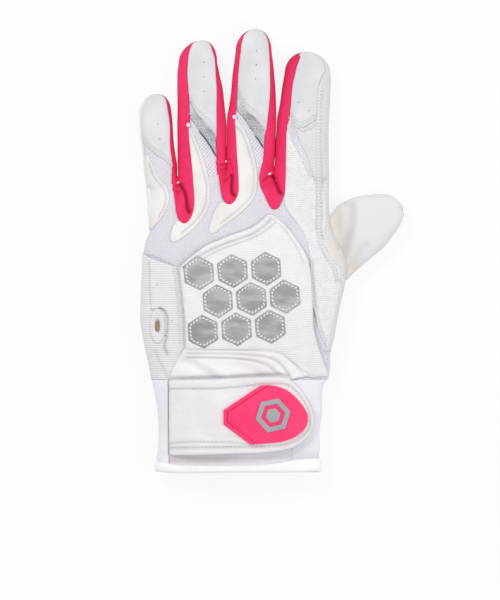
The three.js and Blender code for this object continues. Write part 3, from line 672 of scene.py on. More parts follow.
class Threads:
    """Gathers stitches into one mesh of white thread."""

    def __init__(self):
        self.vertices = []
        self.faces = []

    def add(self, start, end, width, height=None):
        """One stitch: a slim grain from start to end."""
        start, end = np.asarray(start, float), np.asarray(end, float)
        ahead = unit(end - start)
        side = unit(np.cross(UP, ahead))
        turns = np.arange(STITCH_SIDES)[:, None] * 2 * math.pi / STITCH_SIDES
        ring = (side * np.cos(turns) * width + np.cross(ahead,
                                                        side) * np.sin(turns) * (height or width)) / 2
        base = len(self.vertices)
        self.vertices.append(start)
        for share, size in STITCH_RINGS:
            self.vertices.extend(start + (end - start) * share + ring * size)
        self.vertices.append(end)
        last = len(self.vertices) - 1
        for k in range(STITCH_SIDES):
            after = (k + 1) % STITCH_SIDES
            self.faces.append((base, base + 1 + after, base + 1 + k))
            self.faces.append((last, last - STITCH_SIDES + k, last - STITCH_SIDES + after))
        self.faces += ring_faces(base + 1, len(STITCH_RINGS), STITCH_SIDES)

    def run(self, line, length, gap, width, sink=0.12, slant=0.0):
        """A row of stitches along a line of points in space."""
        line = spaced(line, length + gap)
        for a, b in zip(line[:-1], line[1:]):
            ahead = unit(b - a)
            shift = np.cross(UP, ahead) * slant
            self.add(a - shift - UP * sink, a + ahead * length + shift - UP * sink, width, width * 0.8)

    def sew(self, name, body):
        """Ends the row of stitches as a piece of its own."""
        piece = collect(name, self.vertices, self.faces, np.array(self.vertices)[:, :2])
        finish_piece(piece, "white_thread", body)


def sewn(rows, step=1.0):
    """Creases for a panel, from rows of picture points, width and depth."""
    return [(curve_line(points, step), width, depth) for points, width, depth in rows]


def raised(line, lift, surface=top):
    """A line of the drawing set on the upper side."""
    line = np.asarray(line, float)
    return np.column_stack([line, surface(line[:, 0], line[:, 1]) + lift])


def curve_line(points, step=1.0):
    """A smooth open line through picture points, in millimetres."""
    points = drawn(points)
    lengths = walked(points)
    where = np.linspace(0, lengths[-1], max(int(lengths[-1] / step), 4))
    return np.stack([Curve(lengths, points[:, k])(where) for k in range(2)], -1)


CORD_SIDES = 8


def cord_tube(name, line, radius, flatten=1.0):
    """A round cord along a line of points in space, closed at its ends."""
    ahead = unit(np.gradient(line, axis=0))
    side = unit(np.cross(UP, ahead))
    count = len(line)
    from_end = np.minimum(np.arange(count), np.arange(count)[::-1])
    size = radius * np.sqrt(np.maximum(0.05, 1 - np.maximum(0, 1 - from_end / 2) ** 2))
    turns = np.arange(CORD_SIDES)[:, None] * 2 * math.pi / CORD_SIDES
    rings = side[:, None] * np.cos(turns) + np.cross(ahead, side)[:, None] * np.sin(turns) * flatten
    vertices = (line[:, None] + rings * size[:, None, None]).reshape(-1, 3)
    first_end = tuple(range(CORD_SIDES))[::-1]
    last_end = tuple(range(len(vertices) - CORD_SIDES, len(vertices)))
    return collect(name, vertices, ring_faces(0, count, CORD_SIDES) + [first_end, last_end],
                   vertices[:, :2])


def select_only(*pieces):
    """Selects these pieces and makes the first one active."""
    bpy.ops.object.select_all(action="DESELECT")
    for piece in pieces:
        piece.select_set(True)
    bpy.context.view_layer.objects.active = pieces[0]


def joined(name, pieces):
    """Several meshes as one piece."""
    select_only(*pieces)
    bpy.ops.object.join()
    pieces[0].name = name
    pieces[0].data.name = name
    return pieces[0]


# Rigid pieces, modelled by hand

def start_editing():
    """Goes to edit mode with no face selected."""
    bpy.ops.object.mode_set(mode="EDIT")
    bpy.ops.mesh.select_mode(type="FACE")
    bpy.ops.mesh.select_all(action="DESELECT")


def pick_faces(piece, wanted):
    """Selects in edit mode the faces that a test accepts."""
    shape = bmesh.from_edit_mesh(piece.data)
    for face in shape.faces:
        face.select_set(bool(wanted(face)))
    bmesh.update_edit_mesh(piece.data)


def cut_block(name, corners, low, high):
    """A flat block trimmed to straight sides, in millimetres, cut from a cube by one bisect a side."""
    corners = np.asarray(corners, float)
    middle = (corners.min(0) + corners.max(0)) / 2
    span = corners.max(0) - corners.min(0) + 2
    bpy.ops.object.select_all(action="DESELECT")
    bpy.ops.mesh.primitive_cube_add(size=1, location=in_metres(*middle, (low + high) / 2),
                                    scale=(span[0] * MM, span[1] * MM, (high - low) * MM))
    piece = bpy.context.active_object
    piece.name = name
    bpy.ops.object.transform_apply(location=True, rotation=True, scale=True)
    bpy.ops.object.mode_set(mode="EDIT")
    for a, b in zip(corners, np.roll(corners, -1, axis=0)):
        outward = unit(np.array([b[1] - a[1], a[0] - b[0]]))
        if outward @ (middle - a) > 0:
            outward = -outward
        bpy.ops.mesh.select_all(action="SELECT")
        bpy.ops.mesh.bisect(plane_co=in_metres(*a, low), plane_no=(*outward, 0), use_fill=True,
                            clear_outer=True)
    bpy.ops.object.mode_set(mode="OBJECT")
    return piece


def add_cloth_map(piece):
    """The flat coordinates of a piece modelled by hand, which keeps no other map."""
    map_cloth(piece.data, places(piece.data)[:, :2] / MM)
    for spare in [layer.name for layer in piece.data.uv_layers if layer.name != "cloth"]:
        piece.data.uv_layers.remove(piece.data.uv_layers[spare])


def soften(piece, width, segments):
    """Rounds the sharp edges of a piece, with a width in millimetres."""
    edge = piece.modifiers.new("edge", "BEVEL")
    edge.width = width * MM
    edge.segments = segments
    edge.limit_method = "ANGLE"
    edge.angle_limit = 0.5
    select_only(piece)
    bpy.ops.object.modifier_apply(modifier=edge.name)
    bpy.ops.object.shade_smooth_by_angle(angle=0.6)


# Finishes

def feed(tree, socket, value):
    """Sets a socket, or links it if the value is a socket or varies."""
    if isinstance(value, Value):
        value = value.socket
    if isinstance(value, bpy.types.NodeSocket):
        tree.links.new(value, socket)
    else:
        socket.default_value = value


def add_node(tree, kind, settings=(), values=()):
    """A node with its settings, then with the values or links of its sockets."""
    node = tree.nodes.new(kind)
    for key, value in dict(settings).items():
        setattr(node, key, value)
    for key, value in dict(values).items():
        feed(tree, node.inputs[key], value)
    return node


class Value:
    """A number that varies over a surface. Arithmetic on it adds Math nodes."""

    def __init__(self, tree, socket):
        self.tree = tree
        self.socket = socket

    def math(self, operation, *others):
        node = add_node(self.tree, "ShaderNodeMath", {"operation": operation}, enumerate((self, *others)))
        return Value(self.tree, node.outputs[0])

    def __rsub__(self, other):
        return (self * -1) + other

    def between(self, low, high):
        """0 below low, 1 above high, smooth on the way."""
        node = add_node(self.tree, "ShaderNodeMapRange", {"interpolation_type": "SMOOTHSTEP"}, {
            "Value": self, "From Min": low, "From Max": high, "To Min": 0.0, "To Max": 1.0,
        })
        return Value(self.tree, node.outputs["Result"])

    def wave(self, pitch):
        """Rises and falls between 0 and 1 once in each pitch."""
        return (self * (2 * math.pi / pitch)).sine() * 0.5 + 0.5


def math_method(operation):
    return lambda value, *others: value.math(operation, *others)


for method, operation in {
    "__add__": "ADD", "__radd__": "ADD", "__sub__": "SUBTRACT", "__mul__": "MULTIPLY",
    "__rmul__": "MULTIPLY",
    "__truediv__": "DIVIDE", "__pow__": "POWER", "sine": "SINE", "size": "ABSOLUTE", "fraction": "FRACT",
    "floor": "FLOOR", "least": "MINIMUM",
}.items():
    setattr(Value, method, math_method(operation))


class Finish:
    """One material, made of nodes. Lengths are millimetres of the flat cloth."""

    def __init__(self, name):
        self.material = bpy.data.materials.new(name)
        self.material.use_nodes = True
        self.tree = self.material.node_tree
        self.cloth = add_node(self.tree, "ShaderNodeUVMap", {"uv_map": "cloth"}).outputs["UV"]
        parts = add_node(self.tree, "ShaderNodeSeparateXYZ", {}, {"Vector": self.cloth})
        self.x = Value(self.tree, parts.outputs["X"])
        self.y = Value(self.tree, parts.outputs["Y"])
        # colour of the shade painted into seams, folds and turned edges
        self.shade_paint_tone = tone(160, 155, 163)

    def noise(self, size, detail=3.0, stretch=None):
        """Noise with features of about this size in millimetres, 0 to 1."""
        where = self.cloth
        if stretch is not None:
            where = add_node(self.tree, "ShaderNodeVectorMath", {"operation": "MULTIPLY"}, {
                0: where, 1: (*stretch, 1.0),
            }).outputs[0]
        node = add_node(self.tree, "ShaderNodeTexNoise", {"noise_dimensions": "2D"}, {
            "Vector": where, "Scale": 1.0 / size, "Detail": detail, "Roughness": 0.55,
        })
        return Value(self.tree, node.outputs["Fac"])

    def cloud(self, size, low=0.3, high=0.7, stretch=None):
        """Soft patches of about this size in millimetres."""
        return self.noise(size, 2, stretch).between(low, high)

    def cells(self, size):
        settings = {"voronoi_dimensions": "2D", "feature": "DISTANCE_TO_EDGE"}
        node = add_node(self.tree, "ShaderNodeTexVoronoi", settings,
                        {"Vector": self.cloth, "Scale": 1.0 / size})
        return Value(self.tree, node.outputs["Distance"])

    def mix(self, share, first, second):
        """A colour between two, by a share."""
        node = add_node(self.tree, "ShaderNodeMix", {"data_type": "RGBA"}, {0: share})
        for socket, colour in ((node.inputs[6], first), (node.inputs[7], second)):
            feed(self.tree, socket, (*colour, 1.0) if isinstance(colour, tuple) else colour)
        return node.outputs[2]

    def done(self, colour, roughness, height, depth, metallic=0.0, sheen=0.0, specular=0.5):
        """The material, with shade painted into its seams, folds and turned edges. Height, 0 to 1, is a
        relief of a depth in millimetres.
        """
        painted_mark = add_node(self.tree, "ShaderNodeAttribute", {"attribute_name": "painted_shade"}).outputs["Fac"]
        bump = add_node(self.tree, "ShaderNodeBump", {},
                        {"Strength": 1.0, "Distance": depth * MM, "Height": height})
        for name, value in {
            "Base Color": self.mix(painted_mark, colour, self.shade_paint_tone), "Roughness": roughness,
            "Metallic": metallic,
            "Sheen Weight": sheen, "Sheen Roughness": 0.5, "Specular IOR Level": specular,
            "Normal": bump.outputs["Normal"],
        }.items():
            feed(self.tree, self.tree.nodes["Principled BSDF"].inputs[name], value)
        return self.material


def tone(red, green, blue):
    """A colour as seen on a screen, 0 to 255, in the shader's linear values."""
    screen = [part / 255 for part in (red, green, blue)]
    return tuple(((part + 0.055) / 1.055) ** 2.4 if part > 0.04045 else part / 12.92 for part in screen)


def grained(f, colour, grain, depth):
    """Ends a leather finish with small pebbles and a fine grain."""
    fine = f.noise(0.5, 4)
    pebbles = f.cells(grain).between(0.0, 0.25)
    return f.done(colour, 0.5 + 0.14 * fine, pebbles * 0.6 + fine * 0.5, depth, specular=0.4)


def darker(colour, share):
    """A share of a colour."""
    return tuple(part * share for part in colour)


def leather(name, colour, shade, grain=0.9, depth=0.05):
    """Smooth soft leather with a fine grain and faint cloudy tone."""
    f = Finish(name)
    return grained(f, f.mix(f.cloud(18), colour, shade), grain, depth)


def root_shaded_leather(name, colour, root_shade):
    """Soft leather with shade painted in a warmer, darker tone near the digit's root, where it folds."""
    f = Finish(name)
    away = f.y + 4 * (f.noise(9, 2) - 0.5)
    return grained(f, f.mix((1 - away.between(4, 15)) * (0.6 + 0.4 * f.cloud(7)), colour, root_shade), 0.8, 0.04)


def ribbed(name, colour, groove_shade, pitch=1.25, depth=0.16, turn=0.0):
    """Cloth or leather with fine parallel ribs across it."""
    f = Finish(name)
    across = f.y * math.cos(turn) + f.x * math.sin(turn) + 0.12 * f.noise(9, 2)
    rib = across.wave(pitch).between(0.1, 0.75)
    groove_shade_patches = f.cloud(6, 0.35, 0.65)
    tint = f.mix(f.cloud(16, 0.35, 0.7) * 0.5, colour, darker(colour, 0.97))
    height = rib * 0.8 + f.x.wave(0.5) * rib * 0.2 + f.noise(0.6, 3) * 0.25
    # the grooves between the ribs are painted darker, as shade, more in some patches than others
    return f.done(f.mix(1 - (1 - rib) * (groove_shade_patches * 0.5 + 0.5), groove_shade, tint), 0.6, height, depth,
                  specular=0.35)


def dotted(name, colour, dot_colour, pitch):
    """Synthetic leather embossed with staggered rows of small dots."""
    f = Finish(name)
    rows = f.y / (pitch * 0.85)
    u = (f.x / pitch + (rows.floor() * 0.5).fraction()).fraction() - 0.5
    v = rows.fraction() - 0.5
    dot = 1 - ((u * u + v * v) ** 0.5).between(0.14, 0.3)
    colour = f.mix(dot * f.cloud(3.2, 0.38, 0.62) * 0.75, colour, dot_colour)
    return f.done(colour, 0.55, (1 - dot) * 0.8 + f.noise(0.7, 3) * 0.3, 0.14, specular=0.4)


def net(name, thread, shade, pitch, tall):
    """Knitted net: white threads crossing in diamonds over a shaded ground."""
    f = Finish(name)
    swing = 0.25 * f.noise(6, 2)
    first, second = (
        ((f.x / pitch + f.y / (pitch * slope) + swing).fraction() - 0.5).size() for slope in (tall, -tall)
    )
    open_part = (0.5 - first).least(0.5 - second).between(0.1, 0.27)
    colour = f.mix(open_part * (0.65 + 0.35 * f.cloud(9)), thread, shade)
    return f.done(colour, 0.75, 1 - open_part + f.noise(0.45, 3) * 0.3, 0.25, sheen=0.1, specular=0.3)


def stretch_fabric(name, colour, dark, shade_paint_tone):
    """Smooth stretch knit with a soft sheen, with shade painted into its folds."""
    f = Finish(name)
    f.shade_paint_tone = shade_paint_tone
    tint = f.mix(f.cloud(8, 0.3, 0.75) * 0.35, colour, dark)
    height = f.x.wave(0.42) * f.y.wave(0.6) * 0.6 + f.noise(0.5, 3) * 0.4
    return f.done(tint, 0.62, height, 0.07, sheen=0.1, specular=0.3)


def silver_foil(name, light, mid, dark):
    """Soft metallic foil on leather, brushed along its length and lightly creased."""
    f = Finish(name)
    brushed = f.noise(1.2, 3, stretch=(0.25, 2.5))
    # lighter horizontal patches are painted highlights of the foil; the brushed streaks are its own texture
    colour = f.mix(f.cloud(9, 0.3, 0.72, stretch=(0.6, 1.6)), mid, light)
    colour = f.mix(brushed * 0.4, colour, dark)
    height = f.cells(0.7).between(0.0, 0.3) * 0.5 + brushed * 0.5
    return f.done(colour, 0.34 + 0.12 * brushed, height, 0.05, metallic=0.35)


def knit_rib(name, colour, shade, shade_paint_tone):
    """Rib knit with rows of small loops running along the glove."""
    f = Finish(name)
    f.shade_paint_tone = shade_paint_tone
    ridge = f.x.wave(1.1) ** 0.7
    height = ridge * 0.6 + (f.y + ridge * 0.3).wave(0.8) * 0.25 + f.noise(0.5, 3) * 0.3
    tint = f.mix(f.cloud(14), colour, shade)
    # shade painted in the valleys between the ridges
    return f.done(f.mix((1 - ridge) * 0.3, tint, darker(shade, 0.93)), 0.85, height, 0.07, sheen=0.15,
                  specular=0.2)


def fine_weave(name, colour, shade, pitch=0.75):
    """Smooth synthetic with a very fine cross weave."""
    f = Finish(name)
    height = f.x.wave(pitch) * 0.25 + f.y.wave(pitch) * 0.55 + f.noise(0.6, 3) * 0.35
    return f.done(f.mix(f.cloud(20), colour, shade), 0.55, height, 0.06, specular=0.4)


def brushed_pile(name, colour, shade, pitch):
    """Hook or loop fabric: rows of small standing threads."""
    f = Finish(name)
    column = f.x / pitch
    u = column.fraction() - 0.5
    v = (f.y / pitch + (column.floor() * 0.5).fraction()).fraction() - 0.5
    tuft = 1 - ((u * u + v * v) ** 0.5).between(0.15, 0.45)
    fuzz = f.noise(0.5, 4)
    return f.done(f.mix(tuft * fuzz, shade, colour), 0.9, tuft * 0.7 + fuzz * 0.5, 0.35, sheen=0.2,
                  specular=0.2)


def rubber(name, colour, shade):
    """Moulded soft rubber, satin, with a faint mould texture."""
    f = Finish(name)
    fine = f.noise(0.35, 3)
    return f.done(f.mix(f.cloud(15, 0.3, 0.75) * 0.6, colour, shade), 0.42 + 0.12 * fine, fine, 0.02,
                  specular=0.35)


def thread_finish(name, colour, shade):
    """Twisted sewing thread."""
    f = Finish(name)
    return f.done(f.mix(f.noise(0.4, 2), colour, shade), 0.6, (f.x + f.y).wave(0.35), 0.05, sheen=0.1,
                  specular=0.3)


FINISHES = {
    "palm_leather": leather("palm leather", tone(226, 223, 222), tone(216, 212, 210)),
    # its second tone is the shade painted near the thumb's root
    "thumb_leather": root_shaded_leather("thumb leather", tone(232, 229, 233), tone(221, 215, 208)),
    "ribbed_leather": ribbed("ribbed leather", tone(240, 238, 239), tone(222, 219, 219), 1.15, 0.12),
    "strip_leather": ribbed("strip leather", tone(231, 229, 230), tone(219, 216, 218), 1.0, 0.09),
    "tape_leather": ribbed("tape leather", tone(236, 235, 235), tone(220, 218, 220), 1.6, 0.12),
    "dotted_panel": dotted("dotted panel", tone(240, 239, 240), tone(172, 170, 178), 1.15),
    "smooth_leather": leather("smooth leather", tone(248, 245, 248), tone(241, 236, 239), 0.7, 0.03),
    "strap_weave": fine_weave("strap weave", tone(240, 238, 239), tone(234, 231, 233)),
    "cream_leaf": leather("cream leather", tone(242, 239, 236), tone(233, 229, 226), 0.8, 0.05),
    "pad_panel": ribbed("pad cloth", tone(246, 245, 247), tone(228, 226, 231), 0.9, 0.08, turn=-0.05),
    "tip_panel": leather("tip leather", tone(227, 227, 229), tone(216, 216, 219), 0.6, 0.03),
    "lavender_mesh": net("lavender mesh", tone(246, 243, 248), tone(223, 216, 233), 1.45, 1.0),
    "ladder_mesh": net("open mesh", tone(246, 243, 248), tone(212, 204, 226), 2.3, 0.8),
    # its last tone is the shade painted in its folds
    "pink_stretch": stretch_fabric("pink stretch", tone(242, 43, 104), tone(222, 20, 84), tone(164, 0, 46)),
    # its second tone is the shade painted near the thumb's root
    "thumb_side_leather": root_shaded_leather("thumb side leather", tone(228, 226, 229), tone(218, 212, 205)),
    "root_cloth": ribbed("root cloth", tone(234, 231, 228), tone(223, 219, 215), 1.1, 0.1, turn=0.2),
    "dark_cord": thread_finish("dark cord", tone(84, 82, 88), tone(58, 56, 62)),
    "silver_panel": silver_foil("silver foil", tone(196, 196, 199), tone(158, 158, 161),
                                tone(132, 132, 137)),
    # its last tone is the colour of the strap's shadow painted on the knit
    "cuff_knit": knit_rib("cuff knit", tone(246, 243, 249), tone(239, 235, 244), tone(163, 150, 150)),
    "cuff_hem": fine_weave("hem cloth", tone(254, 253, 255), tone(251, 249, 252), 0.9),
    "loop_fabric": brushed_pile("loop fabric", tone(250, 248, 251), tone(214, 211, 217), 0.9),
    "hook_fabric": brushed_pile("hook fabric", tone(225, 225, 228), tone(180, 180, 184), 1.2),
    "pink_rubber": rubber("pink rubber", tone(252, 60, 120), tone(245, 48, 108)),
    "silver_print": rubber("silver rubber", tone(170, 173, 176), tone(158, 161, 165)),
    "white_thread": thread_finish("white thread", tone(246, 245, 247), tone(226, 224, 228)),
    # painted shade inside the punched holes
    "dark_hole": leather("punched hole", tone(92, 88, 92), tone(70, 66, 70)),
    "slot_lining": leather("slot lining", tone(156, 136, 112), tone(132, 112, 88)),
}


def in_metres(x, y, z):
    """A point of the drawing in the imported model's metres."""
    return ((x + SHIFT[0]) * MM, (y + SHIFT[1]) * MM, z * MM)


def finish_piece(piece, finish, body, *nodes):
    """Gives a piece its material and its body, and hides the CAD nodes it stands for."""
    piece.data.materials.clear()
    piece.data.materials.append(FINISHES[finish])
    if body in DIGITS:
        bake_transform(piece)
    else:
        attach(piece, body)
    if nodes:
        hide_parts(*nodes)
    return piece


# Fingers

def rows_of(tube, start, step=1.5, cap_rows=12):
    """Places along a tube from a start to its tip, closer together in the rounded end."""
    turns = np.linspace(0, math.pi / 2, cap_rows)
    return np.concatenate([np.arange(start, tube.begin, step), tube.begin + tube.cap * np.sin(turns)])


SEAM_LIMIT = 0.985  # a seam's largest share across the tube
SEAM_AT_TIP = 0.86  # and its least share at the tip


def seam_shares(tube, rows, sign):
    """A seam from picture rows of (y, x), as shares across the tube along its length."""
    rows = sorted(rows, key=lambda row: -row[0])
    keys, shares = [], []
    for y, x in rows:
        place = drawn((x, y))
        keys.append(place[1])
        shares.append(float(tube.share(place[0], place[1])))
    keys.append(tube.tip[1])
    shares.append(sign * max(SEAM_AT_TIP, abs(shares[-1])))
    return Curve(keys, np.clip(shares, -SEAM_LIMIT, SEAM_LIMIT))


SEAMS = {
    "pinky": (
        [(230, 150.5), (188, 147.8), (155, 144.5), (120, 141.5), (104, 144.5)],
        [(230, 172), (188, 172.4), (172, 172.8), (155, 171), (124, 169.6), (106, 167)],
    ),
    "ring": (
        [(230, 196), (209, 195.4), (181, 192.7), (143, 189.4), (118, 189.6), (97, 188.6), (75, 187.4),
         (60, 188), (50, 190)],
        [(230, 218), (180, 218.2), (157, 217), (131, 216.6), (110, 216.6), (84, 216.4), (60, 214.6),
         (50, 212)],
    ),
    "middle": (
        [(230, 240), (193, 239.4), (174, 238.4), (143, 236.4), (120, 234.8), (109, 235.9), (92, 237.2),
         (80, 238), (65, 239.2), (45, 241.5)],
        [(230, 262), (172, 263), (160, 263.6), (148, 264.4), (129, 266.4), (110, 268.6), (75, 270),
         (45, 268.6)],
    ),
    "index": (
        [(230, 285), (193, 285), (180, 285.2), (150, 285.6), (128, 286.4), (118, 289), (100, 291.2),
         (85, 292.6), (68, 296.4), (58, 300)],
        [(230, 318), (193, 317.6), (166, 316.4), (130, 316.6), (100, 317.6), (86, 318.6), (77, 321.6),
         (70, 325.4)],
    ),
}
# Lower edge of each tip panel: share from its left seam to its right, and picture y
TIP_EDGES = {
    "pinky": [(0, 140), (0.35, 150), (0.7, 160), (1, 167.5)],
    "ring": [(0, 80), (0.04, 97), (0.13, 104.5), (0.36, 116.6), (0.56, 123.6), (0.8, 130), (1, 136.5)],
    "middle": [(0, 78), (0.06, 92), (0.33, 108), (0.64, 120), (0.95, 129.4), (1, 131)],
    "index": [(0, 112), (0.2, 119.5), (0.36, 127.5), (0.46, 128.4), (0.76, 123.2), (1, 119)],
}
WALLS = {
    "pinky": (("pinky_outer_wall", "cream_leaf", ()),
              ("pinky_gusset_cloth", "pink_stretch", ("pinky_gusset",))),
    "ring": (("ring_gusset_left_cloth", "pink_stretch", ("ring_gusset_left",)),
             ("ring_gusset_right_cloth", "pink_stretch", ("ring_gusset_right",))),
    "middle": (("middle_gusset_left_cloth", "pink_stretch", ("middle_gusset_left",)),
               ("middle_gusset_right_cloth", "pink_stretch", ("middle_gusset_right",))),
    "index": (("index_gusset_cloth", "pink_stretch", ("index_gusset",)),
              ("index_side_strip_leather", "strip_leather", ("index_side_strip",))),
}
ROOTS = {"pinky": 189.5, "ring": 178.5, "middle": 172.5, "index": 180.5}
TURN_HEIGHTS = {"pinky": 10.6, "ring": 9.6, "middle": 9.6, "index": 12.2}
PALM_TUCK = 0.5  # the fingers' palm leather begins this far inside the hand's


def turning_shade(high):
    """Shade painted on a gusset's cloth where it turns down between two fingers, from a height down."""
    return lambda x, y, z: 0.6 * (1 - smooth(z, 5.5, high))


TIP_STITCHES = (1.5, 2.9)  # how far the two rows lie from the tip panel's lower edge
WALL_GAP = 0.04  # angle between a side wall and the back's seam
STALL_COLUMNS = 24
BACK_COLUMNS = 30
TIP_COLUMNS = 44


def make_finger(name):
    """One finger's stall: side walls, palm, mesh back, tip panel and its stitches."""
    tube = TUBES[name]
    left_seam, right_seam = (seam_shares(tube, rows, sign) for rows, sign in zip(SEAMS[name], (-1, 1)))
    start = float(along_of(ROOTS[name])) - 1.0
    rows = rows_of(tube, start)[:, None]
    low = tube.low_angle(rows)
    left_angle, right_angle = (tube.angle_at(seam(rows)) for seam in (left_seam, right_seam))
    wrinkles = wave_noise(7.5, 0.12, 1.0 + FINGERS.index(name))
    sides = ((math.pi + low, left_angle - WALL_GAP), (right_angle + WALL_GAP, -low))
    for (piece_name, finish, nodes), (first, last) in zip(WALLS[name], sides):
        painted_shading = turning_shade(TURN_HEIGHTS[name]) if finish == "pink_stretch" else None
        angle = between(first, last, STALL_COLUMNS)
        wall = tube_panel(piece_name, tube, rows, angle, 0.1, relief=wrinkles, painted_shading=painted_shading)
        finish_piece(wall, finish, name, *nodes)
    angle = between(-low, low - math.pi, STALL_COLUMNS)
    flat = tube.point(rows, angle)
    tucked = HAND.underside(flat[..., 0], flat[..., 1]) + PALM_TUCK
    tucked = tucked * (1 - smooth(rows, start + 2.5, start + 11))
    palm = tube_panel(f"{name}_palm_leather", tube, rows, angle, fit=False, sole=tucked)
    finish_piece(palm, "palm_leather", name, f"{name}_palm")

    def lower_edge(share):
        return along_of(Curve(*zip(*TIP_EDGES[name]))(share))

    def seam_to_seam(along, share):
        return tube.angle_at(left_seam(along)) * (1 - share) + tube.angle_at(right_seam(along)) * share

    # Mesh back, from the root to under the tip panel
    share = np.linspace(0, 1, BACK_COLUMNS)
    along = start + (lower_edge(share) + 2.0 - start) * np.linspace(0, 1, 40)[:, None]
    back = tube_panel(f"{name}_back_mesh", tube, along, seam_to_seam(along, share), -0.1, relief=wrinkles)
    finish_piece(back, "ladder_mesh" if name in ("ring", "middle") else "lavender_mesh", name,
                 f"{name}_back")

    # Tip panel, from its curved lower edge to the tip
    share = np.linspace(0, 1, TIP_COLUMNS)
    edge = lower_edge(share)
    near = np.array([0, 0.25, 0.55, 0.95, 1.5, 2.0, 2.5, 3.0, 3.6])[:, None]
    body = edge + near[-1] + (tube.begin - edge - near[-1]) * np.linspace(0, 1, 34)[1:, None]
    cap = tube.begin + tube.cap * np.sin(np.linspace(0, math.pi / 2, 16))[1:, None]
    along = np.vstack([edge + near, body, cap + 0 * edge])
    fade = 1 - smooth(along, tube.begin + 2, tube.tip[1])
    stitched = sum(np.exp(-((along - edge - distance) / 0.3) ** 2) for distance in TIP_STITCHES)

    def tip_relief(x, y, z):
        return (0.8 * wrinkles(x, y) - 0.24 * stitched) * fade

    # shade painted along the grooves of the two stitch rows
    def tip_stitch_shading(x, y, z):
        return 0.3 * stitched * fade

    tip = tube_panel(f"{name}_tip_leather", tube, along, seam_to_seam(along, share), 0.55,
                     relief=tip_relief,
                     ends=(True, False), painted_shading=tip_stitch_shading)
    finish_piece(tip, "tip_panel", name, f"{name}_tip_panel")
    threads = Threads()
    for distance in TIP_STITCHES:
        line = edge[2:-2] + distance
        threads.run(tube.point(line, seam_to_seam(line, share[2:-2]), 0.62), *TIP_STITCH, sink=0.0)
    threads.sew(f"{name}_tip_stitches", name)


for finger in FINGERS:
    make_finger(finger)


# Where the thumb's leather folds, with the width and painted shade of each fold
THUMB_FOLDS = [
    ([(351.6, 204), (352.6, 216), (350.4, 230), (345.6, 244), (341.6, 256)], 2.2, 0.26),
    ([(366, 246), (358, 257), (350, 267)], 2.6, 0.12),
    ([(335, 214), (339, 207), (346, 202)], 1.6, 0.12),
]


THUMB_SEAM = 0.975  # where the back's leather meets the sides, as a share across
THUMB_COLUMNS = 56
THUMB_FIT = 14  # the thumb follows the whole glove's upper side up to here


def make_thumb():
    """The thumb's stall: back, two sides and palm."""
    tube = TUBES["thumb"]
    rows = rows_of(tube, -1.0, step=0.8, cap_rows=20)[:, None]
    low = tube.low_angle(rows)
    left_angle, right_angle = tube.angle_at(-THUMB_SEAM), tube.angle_at(THUMB_SEAM)
    painted_shading = [line_groove(line, width, -shade) for line, width, shade in THUMB_FOLDS]
    relief = together(
        line_groove(THUMB_FOLDS[0][0], 2.0, 1.2),
        line_groove([(342, 210), (342.4, 224), (340, 236), (340, 250)], 1.5, -0.5),
        line_groove(THUMB_FOLDS[1][0], 2.2, 0.6),
        wave_noise(11, 0.15, 4.0),
    )

    # shade painted along the thumb's folds
    def shaded(x, y, z):
        return np.max([painted_mark(x, y) for painted_mark in painted_shading], axis=0)

    for name, node, finish, first, last, out, settings in (
        ("back", "thumb_back", "thumb_leather", left_angle, right_angle, 0.1,
         {"rolled": (False, False), "fit": THUMB_FIT, "relief": relief, "painted_shading": shaded}),
        ("inner", "thumb_inner_side", "thumb_side_leather", math.pi + low, left_angle, 0.1,
         {"rolled": (True, False), "fit": THUMB_FIT}),
        ("outer", "thumb_outer_side", "thumb_side_leather", right_angle, -low, 0.1,
         {"rolled": (False, True), "fit": THUMB_FIT}),
        ("palm", "thumb_palm", "palm_leather", -low, low - math.pi, 0.0, {"fit": False}),
    ):
        angle = between(first, last, THUMB_COLUMNS)
        panel = tube_panel(f"thumb_{name}_leather", tube, rows, angle, out, **settings)
        finish_piece(panel, finish, "thumb", node)


make_thumb()


# Hand

HAND_STEP = 1.6  # space between rows of points, in millimetres


def hand_panel(name, finish, first_y, last_y, first_angle, last_angle, out, nodes=(), columns=70, **more):
    """A panel of the hand's tube between two picture rows, from one angle to another."""
    low, high = sorted((float(along_of(first_y)), float(along_of(last_y))))
    rows = np.linspace(low, high, max(int((high - low) / HAND_STEP), 4))[:, None]
    angle = between(first_angle(rows), last_angle(rows), columns)
    finish_piece(tube_panel(name, HAND, rows, angle, out, **more), finish, "hand", *nodes)


def low_left(rows):
    """The palm leather's edge at the left, as an angle."""
    return math.pi + HAND.low_angle(rows)


def low_right(rows):
    """The palm leather's edge at the right, as an angle."""
    return -HAND.low_angle(rows)


def far_right(rows):
    """The palm leather's other edge, seen round from the right."""
    return HAND.low_angle(rows) - math.pi


def at_share(share):
    """The same share across the hand at every place along."""
    return lambda rows: HAND.angle_at(share)


def seam_at(rows_yx):
    """The angle of a seam on the hand from its picture rows."""
    ys, xs = zip(*rows_yx)
    line = Curve(along_of(ys), across_of(xs))

    def angle(rows):
        return HAND.angle_at(np.clip(HAND.share(line(rows), rows), -0.99, 0.99))

    return angle


CUFF_TOP = 379.5
soft_hand = together(wave_noise(13, 0.22, 2.0), wave_noise(6, 0.08, 5.0))


def to_the_roots(first_angle, last_angle, columns, rows, past):
    """Grids of along and angle from the cuff to a little past the fingers' root line."""
    start = along_of(CUFF_TOP)
    root = 35.0
    points = HAND.point(root, between(first_angle(root), last_angle(root), columns))
    edge = root_line(points[:, 0]) + past
    along = start + (edge - start) * np.linspace(0, 1, rows)[:, None]
    return along, between(first_angle(along), last_angle(along), columns)


